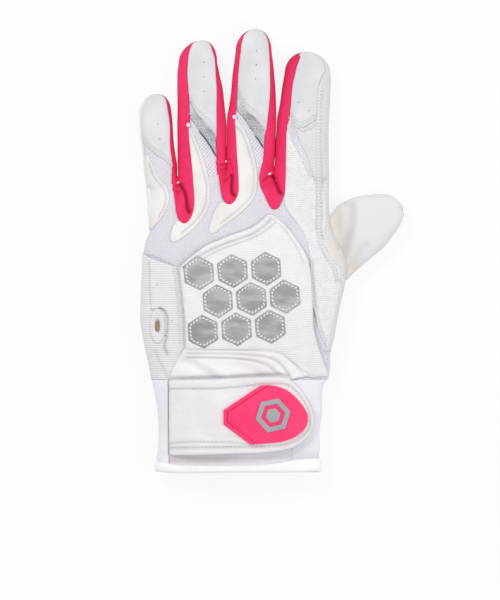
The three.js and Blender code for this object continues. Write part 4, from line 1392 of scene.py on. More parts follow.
def make_back_mesh():
    """Mesh under all the panels of the back, lower where a panel covers it."""
    along, angle = to_the_roots(low_left, low_right, 190, 130, 0.5)
    covers = [(drawn(points), sink) for points, sink in COVERED]

    def sunk(x, y, *rest):
        points = np.stack([np.ravel(x), np.ravel(y)], -1)
        drop = np.zeros(len(points))
        for outline, sink in covers:
            inside = within(points, outline)
            depth = smooth(from_line(points, outline), 0.3, 1.6)
            drop = np.where(inside, np.minimum(drop, -sink * depth), drop)
        return drop.reshape(np.shape(x))

    mesh = tube_panel("hand_back_mesh", HAND, along, angle, -0.1, relief=together(soft_hand, sunk))
    finish_piece(mesh, "lavender_mesh", "hand", "back_mesh")


def make_hand_palm():
    """Palm leather under the hand, one sheet from the cuff to the fingers."""
    along, angle = to_the_roots(low_right, far_right, 90, 90, 0.9)
    palm = tube_panel("hand_palm_leather", HAND, along, angle, fit=False, ends=(False, True))
    finish_piece(palm, "palm_leather", "hand", "palm_leather")


make_hand_palm()

PINKY_PANEL_SEAM = [(380, 170), (360, 181), (347, 190), (318, 189.5), (289, 186.5), (267, 181), (250, 177)]
pinky_seam = seam_at(PINKY_PANEL_SEAM)


# Folds and sewn grooves of the side panel: line, width, depth and painted shade
SIDE_FOLDS = [
    ([(160, 308.6), (165, 311.6), (167.6, 322), (167, 334), (164.4, 347), (167, 354)], 0.7, 0.7, 0.55),
    ([(149.2, 262), (149.8, 285), (151.4, 308.6)], 0.45, 0.3, 0.3),
    ([(151.2, 309.8), (156, 310), (160.6, 308.2)], 0.5, 0.4, 0.5),
    ([(155, 352), (162, 366), (168, 379)], 1.0, 0.4, 0.2),
    ([(173.5, 266), (177, 290), (179.6, 318), (179.5, 345)], 0.5, 0.35, 0.2),
    ([(177.4, 268), (181.4, 290), (183.8, 318), (183.8, 345)], 0.45, 0.3, 0.2),
]


def make_pinky_panel():
    """Cross-ribbed side panel with its curved upper edge and double-stitched inner edge."""
    columns = 90
    upper = Curve([0, 0.35, 0.5, 0.75, 1], [251, 252, 254, 260, 267.5])(np.linspace(0, 1, columns))
    start = along_of(CUFF_TOP)
    along = start + (along_of(upper) - start) * np.linspace(0, 1, 110)[:, None]
    angle = between(low_left(along), pinky_seam(along), columns)
    folds = [line_groove(line, width, depth) for line, width, depth, shade in SIDE_FOLDS]
    shades = [line_groove(line, width, -shade) for line, width, depth, shade in SIDE_FOLDS]

    # shade painted along the folds, on the upper side only
    def shaded(x, y, z):
        return together(*shades)(x, y) * smooth(z, 2, 4)

    panel = tube_panel("pinky_side_leather", HAND, along, angle, 0.45, ends=(False, True), painted_shading=shaded,
                       relief=together(*folds, wave_noise(8, 0.14, 7.0)))
    finish_piece(panel, "ribbed_leather", "hand", "pinky_side_panel")


make_pinky_panel()

WRAP_SEAM = [(312, 262), (313.6, 284), (316.2, 308), (320.6, 328), (326, 342)]


def make_wrap():
    """Dot-embossed panel round the thumb side, one with the leaf on the index finger."""
    outline = drawn([
        (286.8, 127.5), (291, 139), (297, 150), (303.5, 163), (308.5, 174), (311, 179), (317, 176.6),
        (327, 176.6), (327, 200), (326.6, 224), (324, 238), (331, 254), (339, 268), (341.6, 280),
        (340, 294), (335.6, 312), (331.4, 332), (328.5, 350), (322.5, 341), (317.5, 329), (314.6, 314),
        (310, 300), (309, 276), (309.6, 259), (307, 242), (299, 226), (288, 212.5), (283.6, 203),
        (284.6, 190), (285.4, 172), (285.8, 150), (286, 135),
    ])
    folds = together(
        line_groove([(305, 214), (316, 226), (324, 238)], 1.0, 0.3),
        line_groove([(311, 262), (322, 270), (330, 286)], 1.4, 0.25),
        wave_noise(7, 0.16, 3.0),
    )

    def tucked(x, y, *rest):
        beside_strip = smooth(x, across_of(308), across_of(313))
        return -0.45 * beside_strip * smooth(y, along_of(188), along_of(177))

    wrap = patch("thumb_wrap_dotted", outline, lift=0.55, relief=together(folds, tucked), rim_shade=0.12,
                 creases=[(curve_line(WRAP_SEAM), 0.5, 0.4)])
    finish_piece(wrap, "dotted_panel", "index", "thumb_side_panel", "index_leaf")
    hand_panel("thumb_wrap_side", "strip_leather", 352, 179, at_share(0.93), low_right, 0.2, columns=24)


make_wrap()


def make_thumb_root():
    """Ribbed cloth let in between the wrap and the thumb."""
    outline = drawn([(328.4, 222), (332, 226), (335.6, 236), (339.6, 250), (342.6, 264), (343, 279),
                     (336, 268), (328, 255), (321.6, 242), (323.6, 232), (326.4, 225)])
    cloth = patch("thumb_root_cloth", outline, lift=0.3, spacing=1.0, roll=0.7,
                  relief=wave_noise(4, 0.1, 3.0))
    finish_piece(cloth, "root_cloth", "thumb")


make_thumb_root()

PAD = [
    (179.5, 267), (192, 256), (206.5, 245), (228, 236), (250, 228.5), (259, 222.5), (266, 216),
    (270.5, 212.5), (276, 217), (285, 224), (294.6, 235.5), (302.8, 248), (308.5, 259), (311, 276),
    (312.6, 300), (313.4, 328), (317.5, 344), (329, 376), (309, 378), (299, 368), (289, 359), (280, 353),
    (268, 350.6), (230, 350), (185.5, 350), (185, 318), (181.6, 289),
]
PAD_LOW, PAD_HIGH = float(along_of(376)), float(along_of(212))
PAD_CROWN = 2.2


def pad_top(x, y):
    """The pad's padded surface: highest in its middle, pulled down at its edges."""
    share = np.clip((np.asarray(y) - PAD_LOW) / (PAD_HIGH - PAD_LOW), 0, 1)
    return top(x, y) + PAD_CROWN * np.sin(math.pi * share) ** 0.8 * 0.9


PAD_SEAMS = [
    ([(190, 269.6), (201, 260.6), (215, 252.4), (235, 244.6), (255, 237), (267, 229.6), (276, 222)], 0.45,
     0.42),
    ([(185, 267.6), (196.6, 258.4), (211, 249.8), (231, 241.8), (252, 234.2), (263, 227), (271, 219.6)],
     0.55, 0.6),
    ([(271, 217.4), (281, 226.4), (289.6, 237), (297.4, 249.4), (303, 262)], 0.45, 0.35),
]


def make_pad():
    """Padded panel over the knuckles, with piping along its upper edge."""
    piping = curve_line([(181, 267.5), (193, 257.5), (208, 247), (229, 238.3), (251, 230.6), (261, 224.5),
                         (270, 217)])
    pad = patch("knuckle_pad_cloth", drawn(PAD), lift=1.2, spacing=1.2, thickness=1.2, roll=1.6,
                relief=wave_noise(14, 0.15, 6.0), surface=pad_top, swell=0.15, creases=sewn(PAD_SEAMS))
    finish_piece(pad, "pad_panel", "hand", "knuckle_pad")
    cord = cord_tube("pad_piping", raised(spaced(piping, 0.8), 1.0, pad_top), 0.55, flatten=0.8)
    finish_piece(cord, "smooth_leather", "hand")


make_pad()

# Silver patches: staggered hexagons, each with a rope stitch inside its edge
PATCH_FLATS = 15.0
PATCH_SPACE = 1.8
PATCH_TILT = math.radians(4)
PATCH_MIDDLE = (-14.0, -24.48)


PATCH_LIFT = 1.75
PATCH_TURN = PATCH_TILT + math.pi / 6
ROPE_INSET = 1.3


def hexagon(x, y, flats, turn):
    """Corners of a hexagon round a middle, from its width across flats and its turn."""
    corner = flats / 2 / math.cos(math.pi / 6)
    turns = [turn + k * math.pi / 3 for k in range(6)]
    return np.array([(x + corner * math.cos(t), y + corner * math.sin(t)) for t in turns])


def make_silver_patches():
    pitch = PATCH_FLATS + PATCH_SPACE
    ropes = Threads()
    for at in range(9):
        row, column = divmod(at, 3)
        number = at + 1
        along = (column - 1 + (0.25 if row % 2 else -0.25)) * pitch
        up = (1 - row) * pitch * math.sin(math.pi / 3)
        x = PATCH_MIDDLE[0] + along * math.cos(PATCH_TILT) - up * math.sin(PATCH_TILT)
        y = PATCH_MIDDLE[1] + along * math.sin(PATCH_TILT) + up * math.cos(PATCH_TILT)
        inner = spaced(hexagon(x, y, PATCH_FLATS - 2 * ROPE_INSET, PATCH_TURN), 0.5, closed=True)
        piece = patch(f"silver_patch_{number}_foil", hexagon(x, y, PATCH_FLATS, PATCH_TURN),
                      lift=PATCH_LIFT,
                      spacing=1.2, thickness=0.6, roll=0.5, surface=pad_top, soft=0.25,
                      relief=together(groove(inner, 0.6, 0.22, True), wave_noise(4, 0.07, number)))
        finish_piece(piece, "silver_panel", "hand", f"silver_patch_{number}")
        line = raised(np.vstack([inner, inner[:1]]), PATCH_LIFT, pad_top)
        ropes.run(line, *ROPE_STITCH, sink=0.0, slant=0.4)
    ropes.sew("patch_rope_stitches", "hand")


make_silver_patches()


def vamp_top(x, y):
    """The vamp's outer face: over the pad's lower edge, then down to the cuff."""
    return top(x, y) + 1.1 + 0.9 * smooth(y, along_of(366), along_of(352))


def make_vamp():
    """Smooth leather between pad and strap, with its flex ridges."""
    outline = drawn([
        (186, 346.6), (230, 346.6), (268, 347.6), (282, 350), (292, 356.6), (302, 366), (310.4, 376),
        (303, 377.2), (295, 378), (288, 384), (270, 388), (240, 388), (200, 388), (168, 387), (169.5, 375),
        (178, 358),
    ])
    creases = sewn([
        ([(188, 350), (230, 349.8), (268, 351.2), (280, 354), (289.6, 360.4), (299, 369.6), (307, 380)],
         0.55, 0.5),
        ([(188, 353.4), (230, 353.8), (262, 356.4), (274.6, 360), (282, 366), (288, 374), (292, 382)], 0.6,
         0.75),
        ([(188, 357.6), (230, 358.4), (254, 361.4), (266, 365.4), (274, 371), (279, 379)], 0.6, 0.6),
        # groove along the strap's top edge, with the strap's shadow painted in it
        ([(166, 378.8), (213, 377.8), (240, 376.4), (262, 375.2), (280, 374.8), (288, 376)], 1.0, 1.0),
    ])
    folds = together(
        line_groove([(188, 355.6), (230, 356), (258, 358.8), (270.4, 362.6), (278.4, 368.4), (284, 377)],
                    0.9, -0.5),
        line_groove([(182, 361), (194, 365), (206, 372), (216, 382)], 2.4, 0.9),
        line_groove([(200, 364), (214, 369), (228, 377)], 2.0, -0.5),
        line_groove([(240, 366), (254, 371), (262, 379)], 2.0, 0.5),
        wave_noise(12, 0.2, 8.0),
    )
    vamp = patch("wrist_vamp_leather", outline, lift=0, spacing=1.0, relief=folds, surface=vamp_top,
                 creases=creases, shade=0.5)
    finish_piece(vamp, "smooth_leather", "hand", "wrist_vamp")


make_vamp()

LEAVES = {
    "ring": ([
        (188.5, 123.5), (194, 135), (201, 151), (207, 170), (211, 189), (210.6, 202), (207, 213),
        (197, 226), (185, 236.5), (176, 242.8), (170.6, 243), (169.4, 238), (172, 229), (175.6, 221),
        (179, 219.6), (184, 223), (189.4, 218.6), (193.6, 209.6), (194, 202), (193.2, 188), (192.3, 174),
        (191.2, 160), (189.6, 146), (188.6, 134),
    ], ("ring_leaf", "ring_lower_leaf")),
    "middle": ([
        (234.5, 115.5), (240, 123.5), (246, 131.5), (251, 144), (255, 158), (258, 174), (257, 192),
        (252, 202), (245, 209.5), (234, 219), (223, 227), (215, 233.8), (209.4, 235), (208.2, 229),
        (211, 219), (215, 209), (219, 202.4), (223.8, 200.4), (228.6, 203.4), (233.6, 201), (237.8, 194),
        (238.4, 183), (237.6, 170), (236.6, 155), (236, 140), (235, 127),
    ], ("middle_leaf", "middle_lower_leaf")),
    "pinky": ([
        (148.6, 153.5), (152, 164), (156.7, 174), (163, 182), (168.6, 189), (170, 198), (167.4, 209),
        (162, 218), (153, 228), (149.8, 229), (149.6, 222), (148.6, 204), (147.2, 190), (145.2, 174),
        (144.2, 160), (146, 153),
    ], ("pinky_leaf", "pinky_lower_leaf")),
}


LEAF_SEAMS = {
    "ring": [(191, 136), (197.4, 152), (203, 171), (206.8, 189), (206.2, 201), (203, 211), (194, 222.6),
             (182.4, 233)],
    "middle": [(237.6, 128), (243, 135), (247.4, 147), (251.2, 160), (254, 175), (253, 190.6),
               (248.6, 199.6), (242.4, 206), (232, 215), (221.4, 223)],
    "pinky": [(149, 164), (153.6, 176), (160, 185), (165, 191.6), (166, 199), (163.6, 208.4), (158.6, 217)],
}


def make_leaves():
    """Leaf-shaped panels from the hand onto the fingers, each sewn down inside its edge."""
    for name, (points, nodes) in LEAVES.items():
        seam = curve_line(LEAF_SEAMS[name], 0.8)
        leaf = patch(f"{name}_leaf_leather", drawn(points), lift=0.62, creases=[(seam, 0.5, 0.4)],
                     relief=wave_noise(6, 0.14, 9.0 + len(name)))
        finish_piece(leaf, "cream_leaf", name, *nodes)
        threads = Threads()
        threads.run(raised(seam, 0.45), *LEAF_STITCH)
        threads.sew(f"{name}_leaf_stitches", name)


make_leaves()


def make_pinky_leaf_side():
    """The pinky leaf's side wall below the finger's root."""
    hand_panel("pinky_leaf_side", "cream_leaf", 229, 188, low_left, at_share(-0.955), 0.2, columns=24)


make_pinky_leaf_side()

LEAF_LOOPS = {"ring": (188.6, 125.2), "middle": (234.6, 117.2)}


def make_leaf_loops():
    """A small bar of thick thread that ends each leaf's seam."""
    for name, place in LEAF_LOOPS.items():
        x, y = drawn(place)
        height = float(top(x, y)) + 1.0
        bpy.ops.object.select_all(action="DESELECT")
        bpy.ops.mesh.primitive_torus_add(major_radius=0.62 * MM, minor_radius=0.48 * MM, major_segments=20,
                                         minor_segments=8, location=in_metres(x, y, height))
        loop = bpy.context.active_object
        loop.name = f"{name}_leaf_loop"
        bpy.ops.object.transform_apply(location=True, rotation=True, scale=True)
        bpy.ops.object.shade_smooth()
        add_cloth_map(loop)
        finish_piece(loop, "white_thread", name)


INSERTS = {
    "ring": [(189.2, 92), (190.5, 100), (196, 111.5), (205, 124.5), (213.5, 132), (216.2, 138),
             (216.2, 157), (210.5, 147), (203, 136), (195, 126), (190, 118.5), (189, 106)],
    "middle": [(237.6, 80), (240.4, 91), (247.5, 108), (256, 119.5), (264, 128.5), (265, 134), (264, 148.5),
               (257, 138.5), (250, 128.5), (243, 118), (236, 110.5), (236.6, 97)],
}


CORDS = {
    "ring": [(199, 131), (206, 140), (212, 149), (216.6, 157.4)],
    "middle": [(255, 136), (260, 142.6), (263.8, 149)],
}


ZIGZAGS = {
    "ring": [(190, 113), (197, 123.5), (205, 133), (215, 148)],
    "middle": [(238.4, 106), (245, 115.5), (253, 126.5), (263.4, 141)],
}
ZIGZAG_SWING = 0.9


def make_inserts():
    """Silver inserts beside the leaves, with a zigzag stitch and a dark cord."""
    for name, points in INSERTS.items():
        insert = patch(f"{name}_insert_foil", drawn(points), lift=0.4, spacing=1.0, roll=0.5)
        finish_piece(insert, "silver_panel", name, f"{name}_insert")
    for name, points in ZIGZAGS.items():
        line = spaced(curve_line(points), 1.1)
        side = to_the_left(unit(np.gradient(line, axis=0)))
        swing = np.where(np.arange(len(line)) % 2, ZIGZAG_SWING, -ZIGZAG_SWING)[:, None]
        corners = raised(line + side * swing, 0.75)
        threads = Threads()
        for a, b in zip(corners[:-1], corners[1:]):
            threads.add(a, b, 0.4)
        threads.sew(f"{name}_zigzag_stitch", name)
        cord = cord_tube(f"{name}_insert_cord", raised(spaced(curve_line(CORDS[name]), 0.8), 0.75), 0.28)
        finish_piece(cord, "dark_cord", name)


make_inserts()
make_leaf_loops()


# Stitch lines of the tape that covers the seam from the index fingertip to the thumb's root
TAPE_SEAMS = [
    [(317.8, 92), (317.2, 104), (316.8, 130), (316.8, 170), (317, 200), (316.8, 226), (318.4, 240),
     (325, 254.6), (332.6, 268), (336.6, 281)],
    [(321.2, 92), (320.6, 104), (320.2, 130), (320.2, 170), (320.4, 200), (320.4, 226), (322.2, 240.6),
     (328.6, 252.4), (335.4, 265.6), (338.8, 279)],
]


def make_index_details():
    """The index finger's backing, and the stitched tape along its outer seam."""
    outline = drawn([(296, 130), (303, 132.4), (311, 129), (318, 124), (317.6, 150), (317.4, 184),
                     (314, 184), (312, 173), (307.6, 159), (301.4, 146), (297, 137)])
    cloth = patch("index_back_cloth", outline, lift=0.3, spacing=1.0, roll=0.6)
    finish_piece(cloth, "strip_leather", "index")
    tape = drawn([
        (319, 82), (316.6, 92), (315.4, 104), (314.8, 130), (314.6, 160), (314.8, 190), (315, 215),
        (314.8, 230), (317, 244), (323.6, 257), (331, 270), (335.6, 284), (341, 282), (337.6, 268),
        (330.4, 254.6), (323.6, 242), (322.6, 230), (322.4, 200), (322.4, 170), (322, 140), (322, 112),
        (322.6, 98), (324.4, 84), (322, 80),
    ])
    seams = [curve_line(line) for line in TAPE_SEAMS]

    def lowered(x, y, *rest):
        return -0.4 * smooth(y, along_of(182), along_of(172)) - 0.5 * smooth(y, along_of(96), along_of(82))

    band = patch("index_strip_tape", tape, lift=0.85, spacing=1.0, thickness=0.4, roll=0.4, relief=lowered,
                 soft=0.7, rim_shade=0.15, creases=[(seam, 0.4, 0.3) for seam in seams], shade=1.2)
    finish_piece(band, "tape_leather", "index")
    threads = Threads()
    for seam in seams:
        place = raised(seam, 0.75)
        place[:, 2] += lowered(seam[:, 0], seam[:, 1])
        threads.run(place, *TAPE_STITCH)
    for line in ([(288.4, 117), (293, 124), (303, 131.6), (311, 129), (317, 124.6)],
                 [(288, 121), (292.6, 127.4), (302.6, 134.6), (311.4, 132), (317, 128)]):
        threads.run(raised(curve_line(line), 0.42), *BACKING_STITCH)
    threads.sew("index_strip_stitches", "index")


make_index_details()

TONGUES = {
    "tongue_pinky_ring": [
        (171.8, 174), (172.7, 178), (173.4, 188), (174.8, 200.7), (176.2, 211.9), (177.6, 217.4),
        (180, 221.8), (183.2, 224.4), (186.4, 224), (189.6, 220.9), (192, 216.6), (193.8, 211),
        (194.6, 204), (194.4, 196), (193.4, 184), (192.2, 170), (190.6, 158), (180, 158), (180.2, 172),
        (179.2, 179), (176.6, 174),
    ],
    "tongue_ring_middle": [
        (215.8, 161), (217.5, 171.3), (219.6, 181), (221, 192.3), (222.8, 199), (225.2, 203.4),
        (228.4, 205.4), (231.8, 204.6), (235, 201.4), (237.6, 196.4), (238.9, 189), (238.7, 180),
        (237.7, 168), (236.4, 156), (235.6, 146), (228, 146), (227.4, 156), (225.6, 161), (222.4, 158),
    ],
    "tongue_middle_index": [
        (262.4, 162), (260.3, 171.3), (259, 179.6), (260.4, 186.7), (264.3, 195), (267.4, 202),
        (270.2, 207.6), (273.2, 210), (276.6, 209.4), (279.6, 205.8), (282.4, 200), (284.8, 192.4),
        (285.5, 183), (285.7, 170), (285.7, 158), (275.6, 158), (274, 168), (270.6, 173.4), (268.6, 168),
        (267, 160),
    ],
}
# Folds of each tongue: line, width and depth; shade is painted into each fold by its depth
TONGUE_FOLDS = {
    "tongue_pinky_ring": [
        ([(180.6, 185), (184.4, 191.6), (186.6, 200), (187.4, 208), (189.4, 212.4), (191.6, 211.4)], 0.8,
         1.9),
        ([(173.6, 186.6), (179, 186), (183.2, 184.8)], 0.5, 0.7),
        ([(175, 194), (180, 191), (183, 187.6)], 0.6, 0.7),
    ],
    "tongue_ring_middle": [
        ([(228, 161.6), (230.8, 171.4), (232.2, 178.4), (231.6, 187), (232.2, 193.6), (234.4, 195.6)], 0.8,
         1.9),
        ([(217, 165.6), (221.6, 165), (225.4, 164.2)], 0.5, 0.8),
        ([(219.4, 170.6), (224, 169.4), (228.4, 167)], 0.5, 0.7),
        ([(222, 182.6), (225.6, 180.6), (228.6, 178)], 0.6, 0.6),
    ],
    "tongue_middle_index": [
        ([(271.6, 175.6), (274.6, 179), (277, 185.6), (279, 192), (281.4, 193.6)], 0.8, 1.9),
        ([(260.6, 182.6), (265, 179.6), (270.4, 175.8)], 0.6, 1.0),
        ([(262.4, 187), (265.4, 185), (268.4, 184)], 0.5, 0.5),
    ],
}
CROTCH_TACKS = [(178.7, 182.4), (225.7, 161.8), (269.8, 174.2)]


def make_tongues():
    """Gusset ends in the crotches of the fingers, and the bar tacks over them."""
    for name, points in TONGUES.items():
        highest = drawn(points)[:, 1].max()

        def tucked(x, y, *rest):
            return -0.85 * smooth(y, highest - 5, highest - 0.5)

        tongue = patch(f"{name}_cloth", drawn(points), lift=0.95, spacing=0.6, roll=0.8, soft=0.7,
                       relief=together(wave_noise(4, 0.12, 2.0), tucked), shade=0.55, fade=2.0,
                       rim_shade=0.0, creases=sewn(TONGUE_FOLDS[name], 0.6))
        finish_piece(tongue, "pink_stretch", name.rsplit("_", 1)[1], name)
    threads = Threads()
    for place in CROTCH_TACKS:
        x, y = drawn(place)
        height = float(top(x, y)) + 1.1
        for step in (-0.45, 0.0, 0.45):
            threads.add((x - 0.55 + step, y - 0.6, height), (x + 0.3 + step, y + 0.75, height), 0.5)
    threads.sew("crotch_bar_tacks", "hand")


make_tongues()

SIDE_PANEL = [(138, 252), (155, 254), (168, 260), (179, 267), (183, 289), (186, 318), (187, 347),
              (178, 360), (169, 378), (140, 378)]
VAMP_AREA = [(187, 349), (268, 349), (291, 358), (308, 375.6), (294, 378), (286, 392), (170, 392),
             (172, 375), (179, 360)]
# Panels that lie over the mesh, and how far it sinks below them
COVERED = [(SIDE_PANEL, 0.9), (PAD, 0.5), (VAMP_AREA, 0.9)]
COVERED += [(points, 4.0) for points in TONGUES.values()]
make_back_mesh()


# Cuff

# Fold in the knit below the strap; the strap's shadow is painted along it
CUFF_FOLD = [(170, 459.6), (215, 460), (260, 459.4), (290, 457.4), (321, 456.6)]
# How far down the hem's upper edge lies along the back, in picture units: (x, shift)
HEM_DIP = [(154, 4.4), (168, 4.8), (174, 8), (240, 8), (276, 6), (296, 1), (322, 0.5)]


CUFF_LOW = 468
PALM_CUFF_LOW = 461.5
# The hem's section: picture y, and how far out it lies
HEM_PROFILE = [
    (457.6, -0.35), (459.4, -0.08), (461.2, 0.08), (462.8, 0.2), (464.4, 0.28), (466, 0.3), (468.6, 0.25),
    (470.4, 0.05), (471.3, -0.35), (471.5, -0.8), (470.5, -1.15), (466, -1.2), (463.5, -1.2),
]
HEM_MIDDLE = 464
DIP_END = 470.4  # the hem's upper edge dips, and its lower edge from here on doesn't
DIP_LENGTH = 12.8


def make_cuff():
    """Rib knit cuff in four panels."""
    left_seam = seam_at([(380, 168.6), (462, 168.6)])
    right_seam = seam_at([(380, 289), (420, 292), (462, 291)])
    relief = together(wave_noise(11, 0.25, 11.0), wave_noise(5, 0.08, 12.0),
                      line_groove(CUFF_FOLD, 1.8, 0.8))

    # the strap's shadow painted along the fold, fainter to the right
    def shaded(x, y, z):
        far = smooth(x, across_of(200), across_of(296))
        return line_groove(CUFF_FOLD, 2.2, -0.5)(x, y) * (1 - 0.6 * far)

    for name, node, low, first, last, out, settings in (
        ("back", "cuff_back", CUFF_LOW, left_seam, right_seam, 0.0,
         {"relief": relief, "rolled": (True, False), "painted_shading": shaded}),
        ("pinky", "cuff_pinky_side", CUFF_LOW, low_left, left_seam, 0.1, {"columns": 36, "relief": relief}),
        ("thumb", "cuff_thumb_side", CUFF_LOW, right_seam, low_right, 0.0,
         {"columns": 50, "relief": relief, "rolled": (False, True), "painted_shading": shaded}),
        ("palm", "cuff_palm", PALM_CUFF_LOW, low_right, far_right, 0.0, {"columns": 50, "fit": False}),
    ):
        hand_panel(f"cuff_{name}_knit", "cuff_knit", low, CUFF_TOP, first, last, out, nodes=(node,),
                   **settings)


def make_hem():
    """Rolled hem round the mouth, wider along the back."""
    turns = np.linspace(0, 2 * math.pi, 121)
    round_x = HAND.point(float(along_of(HEM_MIDDLE)), turns)[:, 0] / UNIT + ZERO_X
    dip = np.interp(round_x, *zip(*HEM_DIP)) * smooth(np.sin(turns), -0.2, 0.2)
    dip = np.convolve(np.concatenate([dip[-4:-1], dip, dip[1:4]]), np.full(7, 1 / 7), "valid")
    wave = 0.35 * np.sin(turns * 2 + 0.6) + 0.2 * np.sin(turns * 5)
    rings = []
    for y, out in HEM_PROFILE:
        ring = HAND.point(along_of(y + dip * max(DIP_END - y, 0) / DIP_LENGTH), turns, out)
        ring[:, 1] += wave * smooth(y, 462, 471.7) * 0.8
        rings.append(ring)
    uv = np.stack(np.broadcast_arrays(turns * 25, np.arange(len(rings))[:, None] * 1.0), -1)
    faces = [face[::-1] for face in grid_faces(len(rings), len(turns))]
    hem = collect("cuff_hem_cloth", rings, faces, uv)
    thicken(hem, 0.35)
    finish_piece(hem, "cuff_hem", "hand", "cuff_hem")


make_cuff()
make_hem()


# Strap, badge and the fastening under the strap

STRAP = [
    (169, 380), (190, 379.4), (213, 379), (240, 377.6), (262, 376.6), (280, 376.4), (290, 378.6),
    (298.6, 386.6), (305.4, 396), (310, 404.6), (313.6, 414), (314, 423), (310.8, 432.4), (303.4, 441.4),
    (294, 447.4), (282, 450.8), (260, 453), (215, 454.4), (169, 455.6),
]


def strap_lift(x, y):
    """The strap's outer face: low at its sewn edge and over the hook and loop beyond it."""
    edge = across_of(STRAP[0][0])
    return HAND.top(x, y) + 1.5 + 2.2 * smooth(x, edge, edge + 13)


def make_strap():
    """Strap with its sewn lines, and the two halves of the fastening under it."""
    upper = curve_line([(169, 389), (215, 388.4), (240, 386.6), (262, 384.4), (282, 384), (291, 387),
                        (299, 394.6), (306, 405), (309.6, 415), (310, 424), (306.5, 432), (299, 439),
                        (290, 443), (276, 445.6), (250, 446.4), (210, 447), (169, 448)], 0.8)
    lower = curve_line([(169, 443.4), (200, 441.8), (223, 441.8), (245, 443.6), (262, 445.2)], 0.8)
    edge = curve_line([(170, 449.6), (210, 448.8), (250, 447.6), (276, 446.6), (291, 443.6)], 0.8)
    creases = [(upper, 0.5, 0.75), (lower, 0.5, 0.6), (edge, 0.5, 0.35)]
    strap = patch("strap_cloth", drawn(STRAP), lift=0.0, spacing=1.2, thickness=1.2, roll=1.3,
                  relief=wave_noise(16, 0.25, 13.0), surface=strap_lift, creases=creases, shade=0.6,
                  swell=0.3)
    finish_piece(strap, "strap_weave", "strap_body", "strap")
    threads = Threads()
    threads.run(raised(spaced(upper, 0.8), -0.5, strap_lift), *UPPER_STRAP_STITCH)
    threads.run(raised(spaced(lower, 0.8), -0.4, strap_lift), *LOWER_STRAP_STITCH)
    threads.sew("strap_stitches", "strap_body")
    for name, finish, body, lift, left, right in (
        ("hook_patch", "hook_fabric", "strap_body", 2.2, 214, 304),
        ("loop_patch", "loop_fabric", "hand", 1.1, 200, 300),
    ):
        outline = drawn([(left, 388), (right - 14, 386), (right, 402), (right + 2, 420), (right - 10, 437),
                         (left, 443)])
        piece = patch(f"{name}_pile", outline, lift=lift, spacing=2.0, thickness=0.7, roll=0.4,
                      surface=HAND.top)
        finish_piece(piece, finish, body, name)


make_strap()

BADGE_ROUND = [
    (260.2, 385.4), (266, 384.9), (272, 385.1), (281, 387.2), (289.4, 391.6), (297, 398.4), (303.4, 406.4),
    (307.4, 414), (308.2, 418.4), (307.4, 423), (304.2, 429), (298, 434.6), (289, 439.2), (278, 441.9),
    (264, 443.2), (250.4, 444),
]
BADGE_POINTED = [(262, 384.2), (223.6, 409.8), (223.6, 424), (252, 445.2)]  # the sides with a groove inside
BADGE_THICKNESS = 1.5
BADGE_SEAT = 0.25  # how far the badge sinks into the strap


def seat_on_strap(piece):
    """Bends a flat block to the strap, so that its underside follows the strap's face."""
    points = places(piece.data) / MM - (*SHIFT, 0)
    points[:, 2] += strap_lift(points[:, 0], points[:, 1]) - BADGE_SEAT
    piece.data.vertices.foreach_set("co", ((points + (*SHIFT, 0)) * MM).ravel())
    piece.data.update()


GROOVE_NEAR = 1.7  # the badge's groove runs between these distances from its edge
GROOVE_FAR = 2.3
EMBLEM_LOW = 1.2
EMBLEM_HIGH = BADGE_THICKNESS + 0.45
EMBLEM_TURN = math.radians(12)


def push_down(depth):
    """Extrudes the selected faces downwards, in edit mode, by a depth in millimetres."""
    bpy.ops.mesh.extrude_region_move(TRANSFORM_OT_translate={"value": (0, 0, -depth * MM)})


def cut_along(place, direction):
    """Cuts new edges where an upright plane through a place meets the piece, in edit mode."""
    bpy.ops.mesh.select_all(action="SELECT")
    bpy.ops.mesh.bisect(plane_co=in_metres(*place, 0), plane_no=(*direction, 0))


def make_badge():
    """Moulded rubber badge: a raised face inside a groove."""
    corners = np.vstack([curve_line(BADGE_ROUND, 2.4), drawn(BADGE_POINTED[2:0:-1])])
    badge = cut_block("strap_badge_rubber", corners, 0.0, BADGE_THICKNESS)
    pointed = drawn(BADGE_POINTED)
    start_editing()
    for a, b in zip(pointed[:-1], pointed[1:]):
        inward = np.array([-(b[1] - a[1]), b[0] - a[0]]) / np.linalg.norm(b - a)
        for distance in (GROOVE_NEAR, GROOVE_FAR):
            cut_along(a + inward * distance, inward)

    def in_groove(face):
        middle = np.array(face.calc_center_median()[:2]) / MM - SHIFT
        gap = from_line(middle, pointed, False)[0]
        return face.normal.z > 0.9 and GROOVE_NEAR < gap < GROOVE_FAR

    pick_faces(badge, in_groove)
    push_down(0.7)
    bpy.ops.object.mode_set(mode="OBJECT")
    soften(badge, 0.28, 3)
    bpy.ops.object.mode_set(mode="EDIT")
    bpy.ops.mesh.select_all(action="SELECT")
    bpy.ops.mesh.quads_convert_to_tris()
    for x in np.arange(-24, 20, 3.0):
        cut_along((x, 0), (1, 0))
    bpy.ops.object.mode_set(mode="OBJECT")
    seat_on_strap(badge)
    add_cloth_map(badge)
    finish_piece(badge, "pink_rubber", "strap_body", "strap_badge")


def make_emblem():
    """A generic silver hexagon ring with a core, raised on the badge."""
    pieces = []
    for name, flats, hollow in (("badge_emblem_ring", 15.5, 10.6), ("badge_emblem_core", 6.6, 0.0)):
        block = cut_block(name, hexagon(*drawn((273, 415)), flats, EMBLEM_TURN), EMBLEM_LOW, EMBLEM_HIGH)
        if hollow:
            start_editing()
            pick_faces(block, lambda face: face.normal.z > 0.9)
            bpy.ops.mesh.inset(thickness=(flats - hollow) / 2 * MM, depth=0)
            push_down(0.6)
            bpy.ops.object.mode_set(mode="OBJECT")
        soften(block, 0.15, 2)
        seat_on_strap(block)
        add_cloth_map(block)
        pieces.append(block)
    finish_piece(joined("badge_emblem", pieces), "silver_print", "strap_body")


